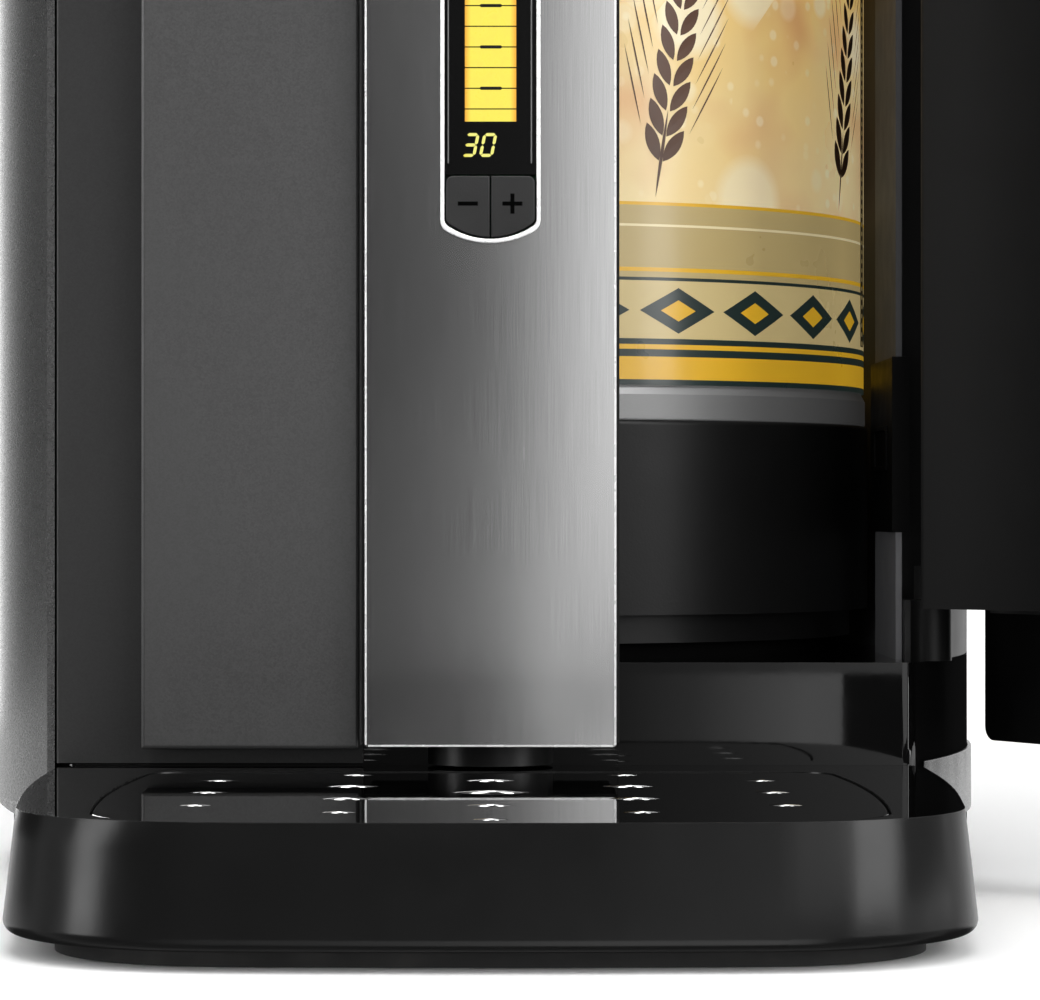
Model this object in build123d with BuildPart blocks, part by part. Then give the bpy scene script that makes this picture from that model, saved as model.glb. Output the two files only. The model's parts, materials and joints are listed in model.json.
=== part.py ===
from build123d import *
import math
import os

os.makedirs("parts", exist_ok=True)

# Counter-top dispenser for a small party keg, millimetres.
# +X is the right-hand side, +Y points to the back, the counter is z = 0
# and the keg stands on the Z axis.

# ---------------------------------------------------------------- driving dimensions
# Gaps and common walls
seam_gap = 0.4
flat_gap = 0.3
snug_gap = 0.2
fit_clearance = 0.05
skin_thickness = 2.0
skin_standoff = 5.0

# Base and lower heights
pad_height = 2.0
floor_plate_thickness = 2.5
skirt_z = 14.0
skirt_rim_height = 9.0
skirt_radius = 4.6
deck_z = 54.0
deck_thickness = 3.0
base_wall = 3.0
base_corner_radius = 4.0
flank_top_z = deck_z + 14.0
sill_top_z = 30.0
sill_thickness = 1.1
sill_back_y = 45.0

# Keg, whose size the chamber and the body follow
keg_radius = 98.6
keg_wall = 1.2
keg_foot_radius = keg_radius - 3.1
keg_foot_height = 7.0
keg_cup_radius = keg_radius + 1.7
keg_foot_z = deck_z + 4.0
keg_cup_floor_z = keg_foot_z + 10.0
keg_cup_floor_thickness = 4.0
keg_foot_rib_width = 12.0
keg_cup_edge_radius = 1.2
keg_cup_top_z = keg_foot_z + 54.7
keg_plate_radius = keg_foot_radius - 3.5
keg_plate_ring_width = 14.0
keg_chime_radius = keg_radius + 1.0
keg_chime_top_z = keg_cup_top_z + 8.3
keg_chime_bevel = 2.0
keg_shoulder_z = keg_foot_z + 248.0
keg_shoulder_radius = 40.0
keg_crown_drop = 6.0
keg_top_z = keg_shoulder_z + 28.0
keg_neck_radius = 14.0
label_thickness = 0.5
label_gap = 0.15
label_top_z = keg_shoulder_z - 8.0
top_ring_outer_radius = keg_radius - 14.6
top_ring_inner_radius = top_ring_outer_radius - 18.0
top_ring_top_z = keg_top_z + 11.0
top_ring_step = 4.0
top_ring_edge_radius = 2.0
valve_flange_height = 3.0
valve_flange_width = 4.0
valve_depth = 12.0
valve_nose_radius = 8.0
valve_nose_height = 8.0
coupler_radius = 22.0
coupler_height = 26.0
coupler_edge_radius = 3.0
barb_length = 10.0

# Chamber and body round it
chamber_radius = keg_radius + 7.4
chamber_wall = 1.5
insulation_thickness = 10.0
body_half_width = chamber_radius + 24.5
body_corner_x = body_half_width - 24.0
body_front_y = -chamber_radius - 1.7
body_back_x = body_corner_x - 14.5
body_back_y = chamber_radius + 99.5
back_corner_radius = 40.0
side_seam_y = 0.3 - body_front_y
chamber_leg_x = chamber_radius - 6.6
chamber_leg_front_y = body_front_y + 20.2
bulkhead_y = chamber_radius + 15.5
carcass_wall = 2.5
front_plate_thickness = 3.0
shell_front_y = body_front_y + 29.7
post_y = shell_front_y - 2.0
rim_top_z = keg_top_z + 28.0
rim_thickness = 3.7
rim_opening_radius = keg_radius + 3.9
lid_height = 35.6

# Column, display and tap
column_half_width = 30.3
column_front_y = body_front_y - 21.3
column_bottom_z = 36.0
column_wall = 2.5
column_back_thickness = 1.5
panel_thickness = 1.0
panel_half_width = column_half_width - 0.7
panel_bottom_z = 35.0
panel_corner_radius = 1.0
stub_radius = 15.0
display_half_width = 11.8
display_bottom_z = 153.3
display_top_z = display_bottom_z + 108.7
display_bottom_drop = 3.6
display_corner_radius = 3.0
bezel_width = 1.0
bezel_proud = 0.7
key_top_z = display_bottom_z + 15.7
key_proud = 0.9
key_gap = 0.4
key_depth = 4.0
window_thickness = 1.4
board_half_width = 19.0
board_depth = 5.0
board_thickness = 1.6
board_overhang = 4.0
board_boss_half = 2.0
module_half_width = 8.0
key_contact_x = 5.5
key_contact_half = 1.5
key_edge_radius = 0.3
tap_axis_z = rim_top_z - 10.0
tap_barrel_radius = 15.0
tap_flange_radius = 21.0
tap_flange_thickness = 5.0
spout_y = column_front_y - 65.0
tap_front_y = spout_y - 12.0
tap_nose_radius = 6.0
tap_spigot_reach = 4.0
spout_radius = 8.0
spout_bore_radius = 4.5
spout_tip_z = tap_axis_z - 84.0
spout_tip_taper = 1.5
spout_collar_width = 2.0
spout_collar_height = 14.0
spout_tip_round = 1.0
spout_overlap = 2.0
spool_radius = 4.5
spool_lift = 3.5
handle_pivot_y = spout_y + 26.0
handle_pivot_z = tap_axis_z + 32.0
handle_half_width = 9.0
handle_cheek = 4.0
handle_gap = 0.4
handle_length = 60.0
handle_top_z = handle_pivot_z + handle_length
handle_hub_radius = 8.0
handle_neck_half = 6.0
handle_neck_height = 22.0
handle_grip_overlap = 2.0
handle_top_reach = 10.0
handle_top_radius = 4.0
handle_grip_half_width = 15.0
pivot_pin_radius = 2.5
pin_proud = 0.5
pin_chamfer = 0.4
beer_bore_radius = 4.6
beer_bore_overrun = 20.0
beer_tube_radius = 4.0
beer_tube_bore = 2.5

# Front covers and door
wing_front_y = body_front_y - 16.8
wing_outer_x = body_corner_x - 24.0
wing_inner_x = column_half_width + 0.7
wing_bottom_z = 34.3
wing_top_z = rim_top_z - 4.5
wing_sheet = 1.2
wing_edge_radius = 1.0
frame_panel_x = body_corner_x - 2.1
frame_bottom_z = 29.9
frame_edge_radius = 0.8
door_panel_thickness = 2.2
door_panel_x = body_corner_x - 0.5
door_panel_corner_radius = 3.5
door_cover_inset = 4.0
door_liner_inner_x = wing_inner_x + 2.0
door_liner_outer_x = chamber_leg_x - 2.4
door_liner_outer_y = body_front_y + 26.7
door_liner_inner_y = body_front_y + 9.2
door_liner_bottom_z = deck_z + 13.0
door_liner_top_z = rim_top_z - 12.0
door_liner_wall = 2.0
door_liner_edge_radius = 2.0
hinge_arm_half = 3.0
door_seal_width = 1.4
door_seal_depth = 4.0
door_open_deg = 119.0
hinge_x = body_corner_x + 1.0
hinge_y = body_front_y + 14.7
hinge_knuckle_radius = 4.2
hinge_knuckle_height = 8.0
hinge_lug_radius = 5.0
hinge_lug_height = 14.7
hinge_upper_drop = 9.0
hinge_pin_radius = 2.0

# Drip tray
tray_rim_z = 29.3
tray_wall_foot_z = 3.8
tray_draft_deg = 6.7
tray_half_width = body_corner_x - 3.0
tray_back_y = body_front_y - 0.3
tray_taper_y = tray_back_y - 68.0
tray_nose_x = tray_half_width - 8.5
tray_nose_y = tray_taper_y - 104.0
tray_front_y = tray_nose_y - 5.4
tray_corner_radius = 45.0
tray_side_radius = 1000.0
tray_edge_radius = 2.6
tray_floor_thickness = 3.0
tray_bowl_inset = 9.0
tray_foot_inset = 8.0
tray_foot_width = 9.0
plate_half_width = tray_half_width - 21.0
plate_side_bow = 4.2
plate_back_y = column_front_y - 2.0
plate_front_y = plate_back_y - 150.6
plate_corner_radius = 24.0
plate_back_corner_radius = 9.0
plate_thickness = 2.4
plate_edge_radius = 0.6
plate_drop = 0.2
plate_gap = 0.8
slot_pitch_x = 30.8
slot_pitch_y = 38.3
slot_first_y = plate_back_y - 27.7
slot_min_width = 7.2
slot_growth = 9.7
slot_reach = 39.0
slot_depth_share = 0.8
slot_bulge = 0.58

# Lid
lid_wall = 2.5
lid_top_thickness = 3.0
lid_edge_radius = 2.0
lid_back_y = chamber_radius + 13.5
lid_hinge_y = lid_back_y + 4.5
deck_cover_front_y = lid_hinge_y + 5.2
lid_hinge_z = rim_top_z + 32.0
lid_knuckle_radius = 4.0
lid_knuckle_length = 20.0
lid_arm_half = 2.5
lid_pin_inset = 1.0
lid_knuckle_x = 38.0
lid_liner_z = rim_top_z + 22.0
lid_liner_thickness = 2.0
column_notch_gap = 0.7
column_notch_y = body_front_y + 7.7

# Cooling unit
cooler_z = deck_z + 141.0
cold_plate_size = 90.0
cold_plate_back_y = chamber_radius + 8.0
peltier_size = 40.0
peltier_thickness = 4.0
sink_size = 100.0
sink_base = 6.0
fin_thickness = 1.6
fin_length = 30.0
fin_count = 13
fan_size = 92.0
fan_depth = 25.0
fan_bore_radius = 43.0
fan_hub_radius = 16.0
fan_blade_radius = 41.5
fan_blade_count = 7
fan_blade_thickness = 1.6
fan_blade_tilt_deg = 40.0
fan_corner_radius = 4.0
fan_gap = 0.5
fan_screw_pitch = 82.5
fan_screw_radius = 1.9
fan_screw_wall = 2.5
fan_screw_grip = 8.0
fan_screw_head = (3.7, 2.2)
fan_strut = (4.0, 2.0)
rotor_back_gap = 2.5
vent_slot_height = 3.2
vent_pitch = 8.0
vent_count = 11
vent_half_width = 40.0

# Electrics and air
supply_size = (60.0, 58.0, 50.0)
supply_centre = (-46.0, bulkhead_y + 36.5)
supply_corner_radius = 2.0
supply_edge_radius = 1.2
pump_radius = 16.0
pump_length = 44.0
pump_head_size = 32.0
pump_x = 62.0
hose_radius = 3.0
hose_bore = 1.8
hose_x = pump_x
pump_front_y = bulkhead_y + 11.5
hose_drop_y = pump_front_y + 13.0
pump_foot_height = 3.0
pump_foot_radius = 3.0
pump_foot_spacing = (20.0, 14.0)
pump_head_corner_radius = 4.0
pump_waist = 3.0
pump_spigot_height = 6.0
pump_spigot_wall = 1.5
pump_barb_height = 8.0
pump_head_length = 22.0
inlet_flange = 1.6
fan_shaft_radius = 2.5
fan_shaft_length = 12.0
fan_blade_chord = 20.0
rotor_length = 18.0
inlet_centre = (-46.0, 130.0)
inlet_size = (30.0, 22.0)
inlet_depth = 18.0
inlet_wall = 2.5
inlet_pin_radius = 1.6
inlet_pin_pitch = 10.0
inlet_pin_length = 12.5
inlet_flange_width = 2.5
inlet_corner_radius = 1.5
control_board_size = (34.0, 80.0)
control_board_centre = (28.5 - body_corner_x, rim_top_z - 62.0)
standoff_height = 4.0
standoff_radius = 2.0
standoff_inset = 8.0
board_parts = ((-26.0, 12.0), (-6.0, 8.0), (18.0, 15.0))
board_part_half = 9.0
board_part_length = 14.0
screw_head_radius = 3.5
screw_head_height = 1.6
screw_radius = 1.5
screw_length = 8.0
screw_boss_share = 2.5
pad_places = [(-72, -88), (72, -88), (-66, 172), (66, 172), (0, 0)]
pad_size = (34.0, 14.0)
pad_corner_radius = 6.0
screw_places = [(-88, -60), (88, -60), (-84, 120), (84, 120)]
hose_bend_radii = (14.0, 27.0, 20.0)
hose_coupler_x = 10.0
hose_turn_y = (44.0, 66.0)
tube_insertion_end = -16.0
tap_spigot_radius = 8.0

# ---------------------------------------------------------------- derived values
column_panel_y = column_front_y - panel_thickness
base_corner_x = body_corner_x - skin_standoff + 1.0
floor_z = pad_height + floor_plate_thickness
frame_back_y = body_front_y + front_plate_thickness
lid_bottom_z = rim_top_z + seam_gap
lid_top_z = lid_bottom_z + lid_height
rim_bottom_z = rim_top_z - rim_thickness
chamber_leg_back_y = -math.sqrt(chamber_radius**2 - chamber_leg_x**2)
chamber_outer_radius = chamber_radius + chamber_wall
insulation_inner_radius = chamber_outer_radius + snug_gap
insulation_outer_radius = insulation_inner_radius + insulation_thickness
peltier_back_y = cold_plate_back_y + peltier_thickness
fin_front_y = peltier_back_y + sink_base
fan_front_y = fin_front_y + fin_length + fan_gap
door_panel_back_y = body_front_y - flat_gap
door_panel_front_y = door_panel_back_y - door_panel_thickness
column_back_y = frame_back_y - flat_gap
spout_top_z = tap_axis_z - tap_barrel_radius + spout_overlap
coupler_bottom_z = keg_top_z + valve_flange_height
board_front_y = column_front_y + board_depth
key_contact_z = (display_bottom_z + key_top_z) / 2
key_front_y = column_panel_y - key_proud
key_back_y = key_front_y + key_depth
window_back_y = column_panel_y + window_thickness - snug_gap
board_boss_places = [(x, z) for x in (-16.0, 16.0) for z in (display_bottom_z + 5.0, display_top_z - 5.0)]
pump_top_z = deck_z + pump_foot_height + 2 * pump_radius + pump_spigot_height
hinge_lug_spans = ((deck_z, deck_z + hinge_lug_height), (rim_bottom_z - hinge_upper_drop, rim_bottom_z))
hinge_knuckle_bottoms = (
    deck_z + hinge_lug_height + flat_gap,
    rim_bottom_z - hinge_upper_drop - flat_gap - hinge_knuckle_height,
)
hinge_pin_spans = (
    (deck_z + 2.0, hinge_knuckle_bottoms[0] + hinge_knuckle_height),
    (hinge_knuckle_bottoms[1], rim_bottom_z - 1.0),
)
wide = 400.0
align_above = (Align.CENTER, Align.CENTER, Align.MIN)
align_below = (Align.CENTER, Align.CENTER, Align.MAX)


def save(piece, name):
    piece.part.label = name
    export_step(piece.part, f"parts/{name}.step")


# ---------------------------------------------------------------- shared outlines
def body_plan(inset_x, inset_back):
    """Plan of the body: flat front, bowed sides, round back corners."""
    corner = (body_corner_x - inset_x, body_front_y)
    seam = (body_corner_x - inset_x, -body_front_y)
    back = (body_back_x - inset_x, body_back_y - inset_back)
    with BuildSketch() as plan:
        with BuildLine():
            Line((-corner[0], corner[1]), corner)
            ThreePointArc(corner, (body_half_width - inset_x, 0), seam)
            Line(seam, back)
            Line(back, (-back[0], back[1]))
            Line((-back[0], back[1]), (-seam[0], seam[1]))
            ThreePointArc((-seam[0], seam[1]), (-body_half_width + inset_x, 0), (-corner[0], corner[1]))
        make_face()
        fillet(plan.vertices().group_by(Axis.Y)[-1], back_corner_radius - inset_back)
    return plan.sketch


def slab(x_low, x_high, y_low, y_high):
    """Rectangle between two X and two Y values, for clipping a plan."""
    with BuildSketch() as area:
        with Locations(((x_low + x_high) / 2, (y_low + y_high) / 2)):
            Rectangle(x_high - x_low, y_high - y_low)
    return area.sketch


def facing_back(x, y, z):
    """Plane at a point whose normal is +Y and whose X axis stays +X."""
    return Plane(origin=(x, y, z), x_dir=(1, 0, 0), z_dir=(0, 1, 0))


def facing_right(x, y, z):
    """Plane at a point whose normal is +X."""
    return Plane(origin=(x, y, z), z_dir=(1, 0, 0))


def block(low, high, mode=Mode.ADD):
    """Box between its lowest and highest corners."""
    with Locations(tuple((a + b) / 2 for a, b in zip(low, high))):
        Box(*(b - a for a, b in zip(low, high)), mode=mode)


skin_plan = body_plan(0.0, 0.0)
base_plan = body_plan(skin_standoff, skin_standoff)


# ---------------------------------------------------------------- base
with BuildPart() as base_housing:
    with BuildSketch(Plane.XY.offset(floor_z)):
        add(base_plan)
    extrude(amount=deck_z - floor_z)
    fillet(base_housing.edges().filter_by(Axis.Z).group_by(Axis.Y)[0], base_corner_radius)
    with BuildSketch(Plane.XY.offset(floor_z)):
        add(base_plan)
        offset(amount=-base_wall, mode=Mode.REPLACE)
    extrude(amount=deck_z - floor_z - deck_thickness, mode=Mode.SUBTRACT)
    # the fixed front frame stands in a step on the left of the front wall
    block((-wide, body_front_y - 1, frame_bottom_z - flat_gap),
          (wing_inner_x - flat_gap, frame_back_y, deck_z + 1), Mode.SUBTRACT)
    block((-base_corner_x + base_wall, frame_back_y, frame_bottom_z - flat_gap - base_wall),
          (wing_inner_x - flat_gap + base_wall, frame_back_y + base_wall, deck_z - deck_thickness))
    # ring that the keg stands on
    with BuildSketch(Plane.XY.offset(deck_z)):
        Circle(keg_plate_radius)
        Circle(keg_plate_radius - keg_plate_ring_width, mode=Mode.SUBTRACT)
    extrude(amount=keg_foot_z - deck_z)
    # screw bosses
    with BuildSketch(Plane.XY.offset(floor_z)):
        with Locations(*screw_places):
            Circle(screw_boss_share * screw_radius)
    extrude(until=Until.NEXT)
    with BuildSketch(Plane.XY.offset(floor_z)):
        with Locations(*screw_places):
            Circle(screw_radius + fit_clearance)
    extrude(amount=screw_length, mode=Mode.SUBTRACT)
save(base_housing, "base_housing")

with BuildPart() as floor_plate:
    with BuildSketch(Plane.XY.offset(pad_height)):
        add(base_plan)
        offset(amount=-base_wall - snug_gap, mode=Mode.REPLACE)
    extrude(amount=floor_plate_thickness)
    with BuildSketch(Plane.XY.offset(pad_height)):
        with Locations(*screw_places):
            Circle(screw_radius + snug_gap)
    extrude(amount=floor_plate_thickness, mode=Mode.SUBTRACT)
save(floor_plate, "floor_plate")

with BuildPart() as foot_pads:
    with BuildSketch():
        with Locations(*pad_places):
            RectangleRounded(*pad_size, pad_corner_radius)
    extrude(amount=pad_height)
save(foot_pads, "foot_pads")

with BuildPart() as floor_screws:
    with BuildSketch(Plane.XY.offset(pad_height - screw_head_height)):
        with Locations(*screw_places):
            Circle(screw_head_radius)
    extrude(amount=screw_head_height)
    with BuildSketch(Plane.XY.offset(pad_height)):
        with Locations(*screw_places):
            Circle(screw_radius)
    extrude(amount=screw_length)
save(floor_screws, "floor_screws")


# ---------------------------------------------------------------- outer shells
def side_area(side, front_y, back_y):
    """Region beside the front panel on one side of the body."""
    inner = frame_panel_x + flat_gap
    return slab(inner, wide, front_y, back_y) if side > 0 else slab(-wide, -inner, front_y, back_y)


with BuildPart() as left_side_shell:
    with BuildSketch(Plane.XY.offset(skirt_z)):
        add(skin_plan)
        add(side_area(-1, body_front_y, side_seam_y - seam_gap), mode=Mode.INTERSECT)
        add(base_plan, mode=Mode.SUBTRACT)
    extrude(amount=skirt_rim_height)
    low_edges = left_side_shell.edges().group_by(Axis.Z)[0].sort_by(Axis.X)
    fillet(low_edges[0], skirt_radius)
    with BuildSketch(Plane.XY.offset(skirt_z + skirt_rim_height)):
        add(skin_plan)
        add(side_area(-1, body_front_y, side_seam_y - seam_gap), mode=Mode.INTERSECT)
        add(body_plan(skin_thickness, skin_thickness), mode=Mode.SUBTRACT)
    extrude(amount=rim_top_z - skirt_z - skirt_rim_height)
save(left_side_shell, "left_side_shell")

with BuildPart() as right_side_shell:
    with BuildSketch(Plane.XY.offset(skirt_z)):
        add(skin_plan)
        add(side_area(1, sill_back_y, side_seam_y - seam_gap), mode=Mode.INTERSECT)
        add(base_plan, mode=Mode.SUBTRACT)
    extrude(amount=skirt_rim_height)
    low_edges = right_side_shell.edges().group_by(Axis.Z)[0].sort_by(Axis.X)
    fillet(low_edges[-1], skirt_radius)
    with BuildSketch(Plane.XY.offset(skirt_z + skirt_rim_height)):
        add(skin_plan)
        add(side_area(1, sill_back_y, side_seam_y - seam_gap), mode=Mode.INTERSECT)
        add(body_plan(skin_thickness, skin_thickness), mode=Mode.SUBTRACT)
    extrude(amount=flank_top_z - skirt_z - skirt_rim_height)
    with BuildSketch(Plane.XY.offset(flank_top_z)):
        add(skin_plan)
        add(side_area(1, shell_front_y, side_seam_y - seam_gap), mode=Mode.INTERSECT)
        add(body_plan(skin_thickness, skin_thickness), mode=Mode.SUBTRACT)
    extrude(amount=rim_top_z - flank_top_z)
save(right_side_shell, "right_side_shell")

with BuildPart() as right_sill:
    with BuildSketch(Plane.XY.offset(skirt_z)):
        add(body_plan(skin_standoff - sill_thickness, skin_standoff))
        add(side_area(1, body_front_y, sill_back_y - seam_gap), mode=Mode.INTERSECT)
        add(base_plan, mode=Mode.SUBTRACT)
    extrude(amount=sill_top_z - skirt_z)
save(right_sill, "right_sill")

with BuildPart() as rear_cover:
    with BuildSketch(Plane.XY.offset(skirt_z)):
        add(skin_plan)
        add(slab(-wide, wide, side_seam_y, wide), mode=Mode.INTERSECT)
        add(base_plan, mode=Mode.SUBTRACT)
    extrude(amount=skirt_rim_height)
    with BuildSketch(Plane.XY.offset(skirt_z + skirt_rim_height)):
        add(skin_plan)
        add(slab(-wide, wide, side_seam_y, wide), mode=Mode.INTERSECT)
        add(body_plan(skin_thickness, skin_thickness), mode=Mode.SUBTRACT)
    extrude(amount=rim_top_z - skirt_z - skirt_rim_height)
    # exhaust slots behind the fan and intake slots beside it
    for row in range(vent_count):
        slot_z = cooler_z + (row - (vent_count - 1) / 2) * vent_pitch
        with BuildSketch(Plane.XZ.offset(-body_back_y - 1)):
            with Locations((0, slot_z)):
                SlotOverall(2 * vent_half_width, vent_slot_height)
        extrude(amount=2 * skin_thickness + 1, mode=Mode.SUBTRACT)
    # window for the mains inlet
    with Locations((inlet_centre[0], body_back_y, inlet_centre[1])):
        window_size = (inlet_size[0] + 2 * flat_gap, 8 * skin_thickness, inlet_size[1] + 2 * flat_gap)
        Box(*window_size, mode=Mode.SUBTRACT)
save(rear_cover, "rear_cover")


# ---------------------------------------------------------------- carcass and chamber
with BuildPart() as carcass:
    with BuildSketch(Plane.XY.offset(deck_z)):
        add(base_plan)
        offset(amount=-carcass_wall, mode=Mode.SUBTRACT)
        add(slab(-wide, wide, frame_back_y, bulkhead_y + carcass_wall), mode=Mode.INTERSECT)
        add(slab(chamber_leg_x - chamber_wall, wide, -wide, post_y), mode=Mode.SUBTRACT)
        add(base_plan & slab(-wide, wide, bulkhead_y, bulkhead_y + carcass_wall))
        add(base_plan & slab(chamber_leg_x + chamber_wall + snug_gap, wide, post_y, post_y + carcass_wall))
    extrude(amount=rim_bottom_z - deck_z)
    half = sink_size / 2 + flat_gap
    block((-half, bulkhead_y - 1, cooler_z - half), (half, bulkhead_y + carcass_wall + 1, cooler_z + half),
          Mode.SUBTRACT)
    with Locations(facing_back(hose_x, bulkhead_y, tap_axis_z)):
        Cylinder(hose_radius + flat_gap, 4 * carcass_wall, mode=Mode.SUBTRACT)
save(carcass, "carcass")

with BuildPart() as chamber_liner:
    with BuildSketch(Plane.XY.offset(deck_z)):
        Circle(chamber_outer_radius)
        Circle(chamber_radius, mode=Mode.SUBTRACT)
        add(slab(-wide, wide, chamber_leg_back_y, wide), mode=Mode.INTERSECT)
        for outer_x in (chamber_leg_x + chamber_wall, -chamber_leg_x):
            leg_end_y = chamber_leg_back_y + chamber_wall
            add(slab(outer_x - chamber_wall, outer_x, chamber_leg_front_y, leg_end_y))
    extrude(amount=rim_bottom_z - deck_z)
    with Locations(facing_back(hose_x, chamber_radius, tap_axis_z)):
        Cylinder(hose_radius + flat_gap, chamber_radius, mode=Mode.SUBTRACT)
save(chamber_liner, "chamber_liner")

with BuildPart() as chamber_insulation:
    with BuildSketch(Plane.XY.offset(deck_z)):
        Circle(insulation_outer_radius)
        Circle(insulation_inner_radius, mode=Mode.SUBTRACT)
        add(slab(-wide, wide, chamber_leg_back_y + 2 * chamber_wall, wide), mode=Mode.INTERSECT)
    extrude(amount=rim_bottom_z - deck_z)
    half = cold_plate_size / 2 + flat_gap
    block((-half, 0, cooler_z - half), (half, wide, cooler_z + half), Mode.SUBTRACT)
    with Locations(facing_back(hose_x, chamber_radius, tap_axis_z)):
        Cylinder(hose_radius + flat_gap, chamber_radius, mode=Mode.SUBTRACT)
save(chamber_insulation, "chamber_insulation")

with BuildPart() as top_rim:
    with BuildSketch(Plane.XY.offset(rim_bottom_z)):
        add(body_plan(skin_thickness + flat_gap, skin_thickness + flat_gap))
        Circle(rim_opening_radius, mode=Mode.SUBTRACT)
        notch = column_half_width + flat_gap
        add(slab(-notch, notch, -wide, column_notch_y), mode=Mode.SUBTRACT)
    extrude(amount=rim_thickness)
save(top_rim, "top_rim")

with BuildPart() as front_frame:
    block((-frame_panel_x, body_front_y, frame_bottom_z),
          (-column_half_width - flat_gap, frame_back_y, rim_bottom_z))
    fillet(front_frame.edges().filter_by(Axis.Z).sort_by(Axis.X)[0], frame_edge_radius)
save(front_frame, "front_frame")


with BuildPart() as left_wing:
    block((-wing_outer_x, wing_front_y, wing_bottom_z), (-wing_inner_x, body_front_y, wing_top_z))
    fillet(left_wing.edges().group_by(Axis.Y)[0], wing_edge_radius)
    block((-wing_outer_x + wing_sheet, wing_front_y + wing_sheet, wing_bottom_z + wing_sheet),
          (-wing_inner_x - wing_sheet, body_front_y + 1, wing_top_z - wing_sheet), Mode.SUBTRACT)
save(left_wing, "left_wing")


# ---------------------------------------------------------------- keg
with BuildPart() as keg_cup:
    with BuildSketch(Plane.XY.offset(keg_foot_z)):
        Circle(keg_foot_radius)
    extrude(amount=keg_foot_height)
    with BuildSketch(Plane.XY.offset(keg_foot_z + keg_foot_height)):
        Circle(keg_cup_radius)
    extrude(amount=keg_cup_top_z - keg_foot_z - keg_foot_height)
    fillet(keg_cup.edges().filter_by(GeomType.CIRCLE).group_by(Axis.Z)[-1], keg_cup_edge_radius)
    with BuildSketch(Plane.XY.offset(keg_cup_floor_z)):
        Circle(keg_radius + snug_gap)
    extrude(amount=wide, mode=Mode.SUBTRACT)
    with BuildSketch(Plane.XY.offset(keg_foot_z)):
        Circle(keg_foot_radius - keg_foot_rib_width)
    extrude(amount=keg_cup_floor_z - keg_foot_z - keg_cup_floor_thickness, mode=Mode.SUBTRACT)
save(keg_cup, "keg_cup")

with BuildPart() as keg_shell:
    seat_z = keg_cup_top_z + flat_gap
    crown_z = keg_top_z - keg_crown_drop
    with BuildSketch(Plane.XZ):
        with BuildLine():
            Polyline((0, keg_cup_floor_z), (keg_radius, keg_cup_floor_z), (keg_radius, seat_z),
                     (keg_chime_radius, seat_z), (keg_chime_radius, keg_chime_top_z - keg_chime_bevel),
                     (keg_radius, keg_chime_top_z), (keg_radius, keg_shoulder_z))
            RadiusArc((keg_radius, keg_shoulder_z), (top_ring_outer_radius, crown_z), keg_shoulder_radius)
            Polyline((top_ring_outer_radius, crown_z), (keg_neck_radius, keg_top_z), (0, keg_top_z),
                     (0, keg_cup_floor_z))
        make_face()
    revolve(axis=Axis.Z)
    inner_radius = keg_radius - keg_wall
    crown_radius = top_ring_outer_radius - keg_wall
    with BuildSketch(Plane.XZ):
        with BuildLine():
            Polyline((0, keg_cup_floor_z + keg_wall), (inner_radius, keg_cup_floor_z + keg_wall),
                     (inner_radius, keg_shoulder_z))
            RadiusArc((inner_radius, keg_shoulder_z), (crown_radius, crown_z - keg_wall),
                      keg_shoulder_radius - keg_wall)
            Polyline((crown_radius, crown_z - keg_wall), (keg_neck_radius, keg_top_z - keg_wall),
                     (0, keg_top_z - keg_wall), (0, keg_cup_floor_z + keg_wall))
        make_face()
    revolve(axis=Axis.Z, mode=Mode.SUBTRACT)
    with BuildSketch(Plane.XY.offset(keg_top_z - keg_wall - 1)):
        Circle(keg_neck_radius)
    extrude(amount=wide, mode=Mode.SUBTRACT)
save(keg_shell, "keg_shell")

with BuildPart() as keg_label:
    with BuildSketch(Plane.XY.offset(keg_chime_top_z + flat_gap)):
        Circle(keg_radius + label_gap + label_thickness)
        Circle(keg_radius + label_gap, mode=Mode.SUBTRACT)
    extrude(amount=label_top_z - keg_chime_top_z - flat_gap)
save(keg_label, "keg_label")

with BuildPart() as keg_top_ring:
    with BuildSketch(Plane.XY.offset(keg_top_z - top_ring_step)):
        Circle(top_ring_outer_radius - top_ring_step)
        Circle(top_ring_inner_radius, mode=Mode.SUBTRACT)
    extrude(amount=top_ring_top_z - keg_top_z + top_ring_step)
    fillet(keg_top_ring.edges().filter_by(GeomType.CIRCLE).group_by(Axis.Z)[-1], top_ring_edge_radius)
    add(keg_shell.part, mode=Mode.SUBTRACT)
save(keg_top_ring, "keg_top_ring")

with BuildPart() as keg_valve:
    with BuildSketch(Plane.XY.offset(keg_top_z - valve_depth)):
        Circle(keg_neck_radius - fit_clearance)
    extrude(amount=valve_depth)
    with BuildSketch(Plane.XY.offset(keg_top_z)):
        Circle(keg_neck_radius + valve_flange_width)
    extrude(amount=valve_flange_height)
    with BuildSketch(Plane.XY.offset(keg_top_z + valve_flange_height)):
        Circle(valve_nose_radius)
    extrude(amount=valve_nose_height)
save(keg_valve, "keg_valve")

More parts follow.
